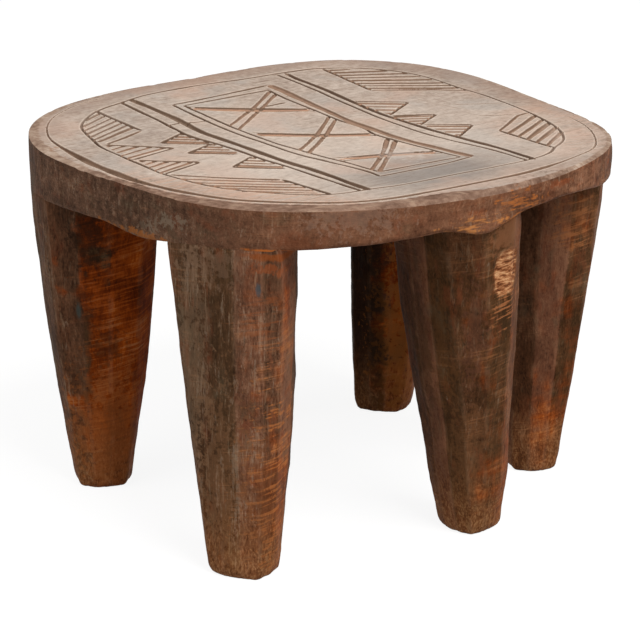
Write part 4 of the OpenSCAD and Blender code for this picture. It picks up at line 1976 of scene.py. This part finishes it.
    def edge_drops(self, circle: np.ndarray, angle: np.ndarray) -> np.ndarray:
        """Find how far the top edge is worn and chipped down.

        Args:
            circle: Where noise is read.
            angle: The bearings.

        Returns:
            The drop at each.
        """
        chips = np.maximum(0, roughen(circle, 9.0, 8.0) - 0.3) * 1.8
        turn = wrapped(angle - math.radians(self.edge_wear_bearing))
        wear = self.edge_wear * np.exp(-(turn / self.edge_wear_spread) ** 2)
        return (self.edge_drop + wear) * (1 + 0.2 * roughen(circle, 34.0, 3.0)) + chips

    def flush_share(self, angle: np.ndarray) -> np.ndarray:
        """Find where a leg runs up flush into the rim.

        Args:
            angle: The bearings.

        Returns:
            One where a leg does, and nought elsewhere.
        """
        share = np.zeros_like(angle)
        for first, last in self.flush:
            half = (last - first) / 2
            offset = np.abs(wrapped(angle - (first + last) / 2))
            share = np.maximum(share, 1 - eased(offset, half - 0.035, half + 0.005))
        return share

    def grid(self, spacing: float) -> np.ndarray:
        """Lay a triangular grid of points over the seat.

        Args:
            spacing: Distance between them.

        Returns:
            The points.
        """
        reach = max(self.form.length, self.form.width) * self.grid_share
        row = np.arange(-reach, reach, spacing)
        heights = np.arange(-reach, reach, spacing * self.row_share)
        return np.vstack([np.column_stack((row + (i % 2) * spacing / 2, np.full(len(row), y)))
                          for i, y in enumerate(heights)])

    def fill(self, ring: np.ndarray, inner: np.ndarray) -> tuple[np.ndarray, list]:
        """Span a ring of points with triangles.

        Args:
            ring: Points of the edge, in order.
            inner: Points inside it.

        Returns:
            All points, the ring's first, and the triangles, which face up.
        """
        plan = [Vector(p) for p in np.vstack((ring, inner)).tolist()]
        edges = [(i, (i + 1) % len(ring)) for i in range(len(ring))]
        points, _, faces, _, _, _ = delaunay_2d_cdt(plan, edges, [], 1, 1e-7)
        places = np.array([(p.x, p.y) for p in points])
        turned = []
        for face in faces:
            a, b, c = (places[i] for i in face[:3])
            up = (b[0] - a[0]) * (c[1] - a[1]) - (b[1] - a[1]) * (c[0] - a[0]) > 0
            turned.append(list(face) if up else list(reversed(face)))
        return places, turned

    def add_face(self, shell: Shell, edge: np.ndarray, beside: np.ndarray) -> np.ndarray:
        """Add the sitting face, with a mesh that follows the cuts.

        Args:
            shell: The surface so far, which is empty.
            edge: Points of its edge.
            beside: Points along the cuts.

        Returns:
            Heights of the edge.
        """
        cuts = self.thin_out(self.inside(beside, self.cut_inset))
        near = KDTree(len(cuts))
        for i, (x, y) in enumerate(cuts.tolist()):
            near.insert((x, y, 0), i)
        near.balance()
        grid = self.inside(self.grid(self.face_spacing), self.face_inset)
        clear = [near.find((x, y, 0))[2] > self.clearance for x, y in grid.tolist()]
        plan, shell.faces = self.fill(edge, np.vstack((cuts, grid[clear])))
        height = self.form.face(plan)
        height = height + self.face_waver * roughen(np.column_stack((plan, height)), 45.0, 12.0)
        shell.add(plan, height, face=1.0, pale=1.0)
        return height[:len(edge)]

    def blank(self, beside: np.ndarray) -> bpy.types.Object:
        """Make the closed blank of the seat.

        Args:
            beside: Points along the cuts.

        Returns:
            The blank, with its stored values.
        """
        form = self.form
        angle = np.arange(self.around) * math.tau / self.around
        circle, width, flush = self.circle(angle), self.edge_width(angle), self.flush_share(angle)
        drop = self.edge_drops(circle, angle)
        shell = Shell(self.around)
        edge_z = self.add_face(shell, form.rim(angle, width), beside)
        for reach, sink, bright in self.edge_steps:
            shell.add_ring(self.rim(angle, width * reach), edge_z - drop * sink, pale=bright)
        top_z = edge_z - drop * self.edge_steps[-1][1]
        low = form.underside(form.rim(angle))
        low_round = self.lower_round * (1 - flush) * (1 + 0.35 * roughen(circle, 18.0, 21.0))
        for i in range(1, self.side_rings + 1):
            share = i / self.side_rings
            height = top_z + (low + low_round - top_z) * share
            worked = np.sin(min(share * 6, 1) * math.pi / 2) * (
                1 - flush * eased(np.array(share), 0.5, 1.0))
            hollow = self.side_waver * math.sin(share * math.pi) * roughen(
                np.column_stack((circle[:, :2], height)), 38.0, 31.0) * (1 - flush * share)
            shell.add_ring(self.rim(angle, hollow), height, dressed=worked)
        for i in range(1, self.foot_rings + 1):
            turn = i / self.foot_rings * math.pi / 2
            shell.add_ring(self.rim(angle, low_round * (1 - math.cos(turn))),
                           low + low_round * (1 - math.sin(turn)),
                           dressed=(1 - flush) * (1 - i / self.foot_rings))
        plan, faces = self.fill(self.rim(angle, np.maximum(low_round, 0)),
                                self.inside(self.grid(self.base_spacing), self.base_inset))
        inner = plan[self.around:]
        base = np.concatenate((shell.ring, shell.add(inner, form.underside(inner), dressed=0.8)))
        shell.faces += [[int(base[i]) for i in reversed(face)] for face in faces]
        points = np.vstack(shell.points)
        stored = {name: np.concatenate(parts) for name, parts in shell.stored.items()}
        stored["pale"] = np.minimum(stored["pale"], 1 - 0.5 * self.worn(points))
        return new_piece("seat_blank", points, shell.faces, **stored, **self.zones(points))

    def worn(self, points: np.ndarray) -> np.ndarray:
        """Find the browned band beside the rim.

        Args:
            points: Points of the seat.

        Returns:
            One in the band and nought inside it.
        """
        angle, distance = self.form.polar(points)
        inset = self.form.reach(angle) - distance
        bearings, widths = np.array(self.worn_band).T
        width = np.interp(np.degrees(angle), bearings, widths)
        width = width + 1.2 * roughen(points, 15.0, 6.0) + 0.5 * roughen(points, 5.0, 7.0)
        return 1 - eased(inset, width - 0.9, width + 0.9)

    def zones(self, points: np.ndarray) -> dict[str, np.ndarray]:
        """Find where the face is stained, cold grey, in painted shade or painted light, and its
        cuts faded.

        Args:
            points: Points of the seat.

        Returns:
            Shares by name.
        """
        x, y = points[:, 0], points[:, 1]
        angle, distance = self.form.polar(points)
        share = distance / self.form.reach(angle)
        front = (eased(x - 0.95 * y, 152.0, 172.0) * (1 - eased(y, -104.0, -97.0))
                 * eased(x, -5, 25))
        back = eased(y, 97.0, 104.0) * eased(x + 0.6 * y, 98.0, 125.0) * 0.5
        lip = eased(-y, 160.0, 172.0) * (1 - eased(np.abs(x - 8), 12.0, 40.0)) * 0.6
        cold, gloom, sun = (sum(glow.share(points) for glow in glows)
                            for glows in (self.cold, self.gloom, self.sun))
        cold = np.clip(cold, 0, 1)
        # Painted shade, darker towards the far left of the rim.
        gloom = gloom + eased(share, 0.84, 0.98) * eased(-x + 0.4 * y, -30.0, 90.0)
        # Painted light, lighter towards the right of the face.
        sun = np.clip(sun + 0.7 * eased(x, -40.0, 90.0), 0, 1)
        faded = (self.faded_ring.share(points) * eased(share, 0.76, 0.83)
                 + self.faded.share(points))
        return {"stained": np.clip(front + back + lip, 0, 1), "cold": cold,
                "gloom": np.clip(gloom, 0, 1),
                "sun": sun * (1 - eased(share, 0.8, 1.0)) * (1 - cold),
                "faded": np.clip(faded, 0, 1)}

    def build(self, trees: ShapeTrees, material: bpy.types.Material) -> bpy.types.Object:
        """Shape the seat.

        Args:
            trees: The geometry trees.
            material: The seat's finish.

        Returns:
            The finished seat.
        """
        guides, beside = self.cut_guides()
        blank = self.blank(beside)
        values = {f"Cuts {i}": guide for i, guide in enumerate(guides, 1)}
        for name in ("lip_height", "mark_width", "mark_length", "mark_depth", "seed"):
            values[titled(name)] = getattr(self, name)
        values["Finish"] = material
        piece = settle("carved_seat", blank, trees.incise, values)
        for guide in guides:
            bpy.data.objects.remove(guide)
        return piece

    def dress(self, piece: bpy.types.Object) -> None:
        """Let the seat ride on the stool and stand for its solid."""
        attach(piece, "root")
        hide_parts("seat")


@dataclass(frozen=True)
class Lamp:
    """A square soft lamp: its place and size in metres, power in watts and colour."""

    name: str
    place: Triple
    size: float
    power: float
    colour: Triple


@dataclass(frozen=True)
class Studio:
    """Pale floor, soft lamps and the camera. Lengths are metres."""

    camera_place: Triple = (1.3232, -1.0060, 0.7017)
    camera_way: Triple = (-0.7558, 0.5651, -0.3309)
    lens: float = 135.0
    film_width: float = 36.0
    far: float = 50.0
    floor_size: float = 16.0
    floor_grey: float = 0.5
    seen_grey: float = 0.17
    seen_glow: float = 0.9
    room_colour: Triple = (1.0, 0.985, 0.965)
    room_light: float = 0.3
    aim: Triple = (0.0, 0.0, 0.15)
    lamps: tuple[Lamp, ...] = (
        Lamp("key_lamp", (1.7, 0.2, 2.7), 1.8, 92.0, (1.0, 0.985, 0.96)),
        Lamp("fill_lamp", (-0.3, -2.4, 1.6), 2.0, 20.0, (1.0, 0.985, 0.97)))

    def floor(self) -> None:
        """Lay the floor, which keeps the stool's shadow and is white to the camera."""
        half = self.floor_size / 2
        corners = [(-half, -half, 0), (half, -half, 0), (half, half, 0), (-half, half, 0)]
        piece = new_piece("studio_floor", np.array(corners), [(0, 1, 2, 3)])
        material, bench = empty_material("studio_floor_paper")
        camera, gloss, glass = (
            bench.get("ShaderNodeLightPath", output=f"Is {ray} Ray")
            for ray in ("Camera", "Glossy", "Transmission"))
        plain, seen = (bench.get("ShaderNodeBsdfDiffuse", {0: (grey, grey, grey, 1)})
                       for grey in (self.floor_grey, self.seen_grey))
        glow = bench.get("ShaderNodeEmission", {"Strength": self.seen_glow})
        lit = bench.get("ShaderNodeAddShader", {0: seen, 1: glow})
        direct = bench.greater(camera, bench.greater(gloss, glass))
        mix = bench.get("ShaderNodeMixShader", {0: direct, 1: plain, 2: lit})
        bench.add("ShaderNodeOutputMaterial", {0: mix})
        piece.data.materials.append(material)

    def world(self) -> None:
        """Light the room evenly and show it white to the camera."""
        world = bpy.data.worlds.new("studio_room")
        bpy.context.scene.world = world
        world.use_nodes = True
        world.node_tree.nodes.clear()
        bench = Bench(world.node_tree)
        room = bench.get("ShaderNodeBackground", {0: (*self.room_colour, 1), 1: self.room_light})
        white = bench.get("ShaderNodeBackground", {0: (1, 1, 1, 1), 1: 1.0})
        seen = bench.get("ShaderNodeLightPath", output="Is Camera Ray")
        mix = bench.get("ShaderNodeMixShader", {0: seen, 1: room, 2: white})
        bench.add("ShaderNodeOutputWorld", {0: mix})

    def hang(self, lamp: Lamp) -> None:
        """Hang a lamp that faces the stool.

        Args:
            lamp: The lamp.
        """
        data = bpy.data.lights.new(lamp.name, "AREA")
        data.size = lamp.size
        data.energy = lamp.power
        data.color = lamp.colour
        self.stand(add_object(lamp.name, data), lamp.place, Vector(self.aim) - Vector(lamp.place))

    def stand(self, thing: bpy.types.Object, place: Triple, way: Vector) -> None:
        """Stand a lamp or camera at a place, facing a way."""
        thing.location = place
        thing.rotation_euler = way.to_track_quat("-Z", "Y").to_euler()

    def build(self) -> None:
        """Set up the floor, the room, the lamps and the camera of the photograph."""
        self.floor()
        self.world()
        for lamp in self.lamps:
            self.hang(lamp)
        data = bpy.data.cameras.new("studio_camera")
        data.lens, data.sensor_width, data.clip_end = self.lens, self.film_width, self.far
        camera = add_object("studio_camera", data)
        self.stand(camera, self.camera_place, Vector(self.camera_way))
        bpy.context.scene.camera = camera
        bpy.context.scene.view_settings.view_transform = "Standard"


LEGS = (
    LegCut("leg_1", 237.8, 174.8, 236.6, 175, 1.0, 1.06, 1.07, 1.2, fuller=1.6,
           rust=(0.12, 1.0, 130), shade=(0.15, 60), dust=0.4, warmth=0.75),
    LegCut("leg_2", 302.4, 182, 299.9, 185, 1.06, 1.04, 1.02, 0.9,
           rust=(0.12, 0.38, 75), shade=(0.1, -60), dust=0.4, warmth=0.62),
    LegCut("leg_3", 6.7, 136, 358, 135, 0.91, 0.82, 1.2, 0.9,
           rust=(0.1, 0.34, 20), shade=(0.3, -125), dust=0.15, warmth=1.0,
           patch_place=(181, 4, 204), patch_size=(14, 12, 18), patch_depth=1.2),
    LegCut("leg_4", 59.1, 146, 60, 155, 0.95, 0.95, 0.92, 0.7,
           rust=(0.15, 0.32, -45), shade=(0.4, -160), dust=0.2, warmth=0.85),
    LegCut("leg_5", 127.9, 141, 124.3, 158, 1.02, 0.8, 1.02, 1.4,
           rust=(0.15, 0.95, -120), shade=(0.75, 140), dust=0.2, warmth=1.0),
    LegCut("leg_6", 175, 142, 175, 150, 0.98, 0.93, 0.93, 1.0,
           rust=(0.15, 0.8, 180), shade=(0.3, 140), dust=0.35, warmth=0.8),
)


def report(piece: bpy.types.Object) -> None:
    """Log the size of a finished piece.

    Args:
        piece: The piece.
    """
    mesh = piece.data
    mesh.calc_loop_triangles()
    LOG.info("%s: %d points, %d triangles", piece.name, len(mesh.vertices),
             len(mesh.loop_triangles))


def main() -> None:
    """Build the stool and its studio."""
    logging.basicConfig(level=logging.INFO, format="%(message)s")
    form = StoolForm()
    trees = ShapeTrees(form)
    groups = WoodGroups()
    seat_finish = SeatFinish().build(groups)
    leg_finish = LegFinish().build(groups)
    legs = [HewnLeg(cut, seed) for seed, cut in enumerate(LEGS, 1)]
    flush = [span for span in (leg.flush_bearings(form) for leg in legs) if span]
    for leg in legs:
        piece = leg.build(trees, leg_finish)
        leg.dress(piece)
        report(piece)
    seat = CarvedSeat(form, Carving(), flush)
    piece = seat.build(trees, seat_finish)
    seat.dress(piece)
    report(piece)
    Studio().build()


if __name__ == "__main__":
    main()
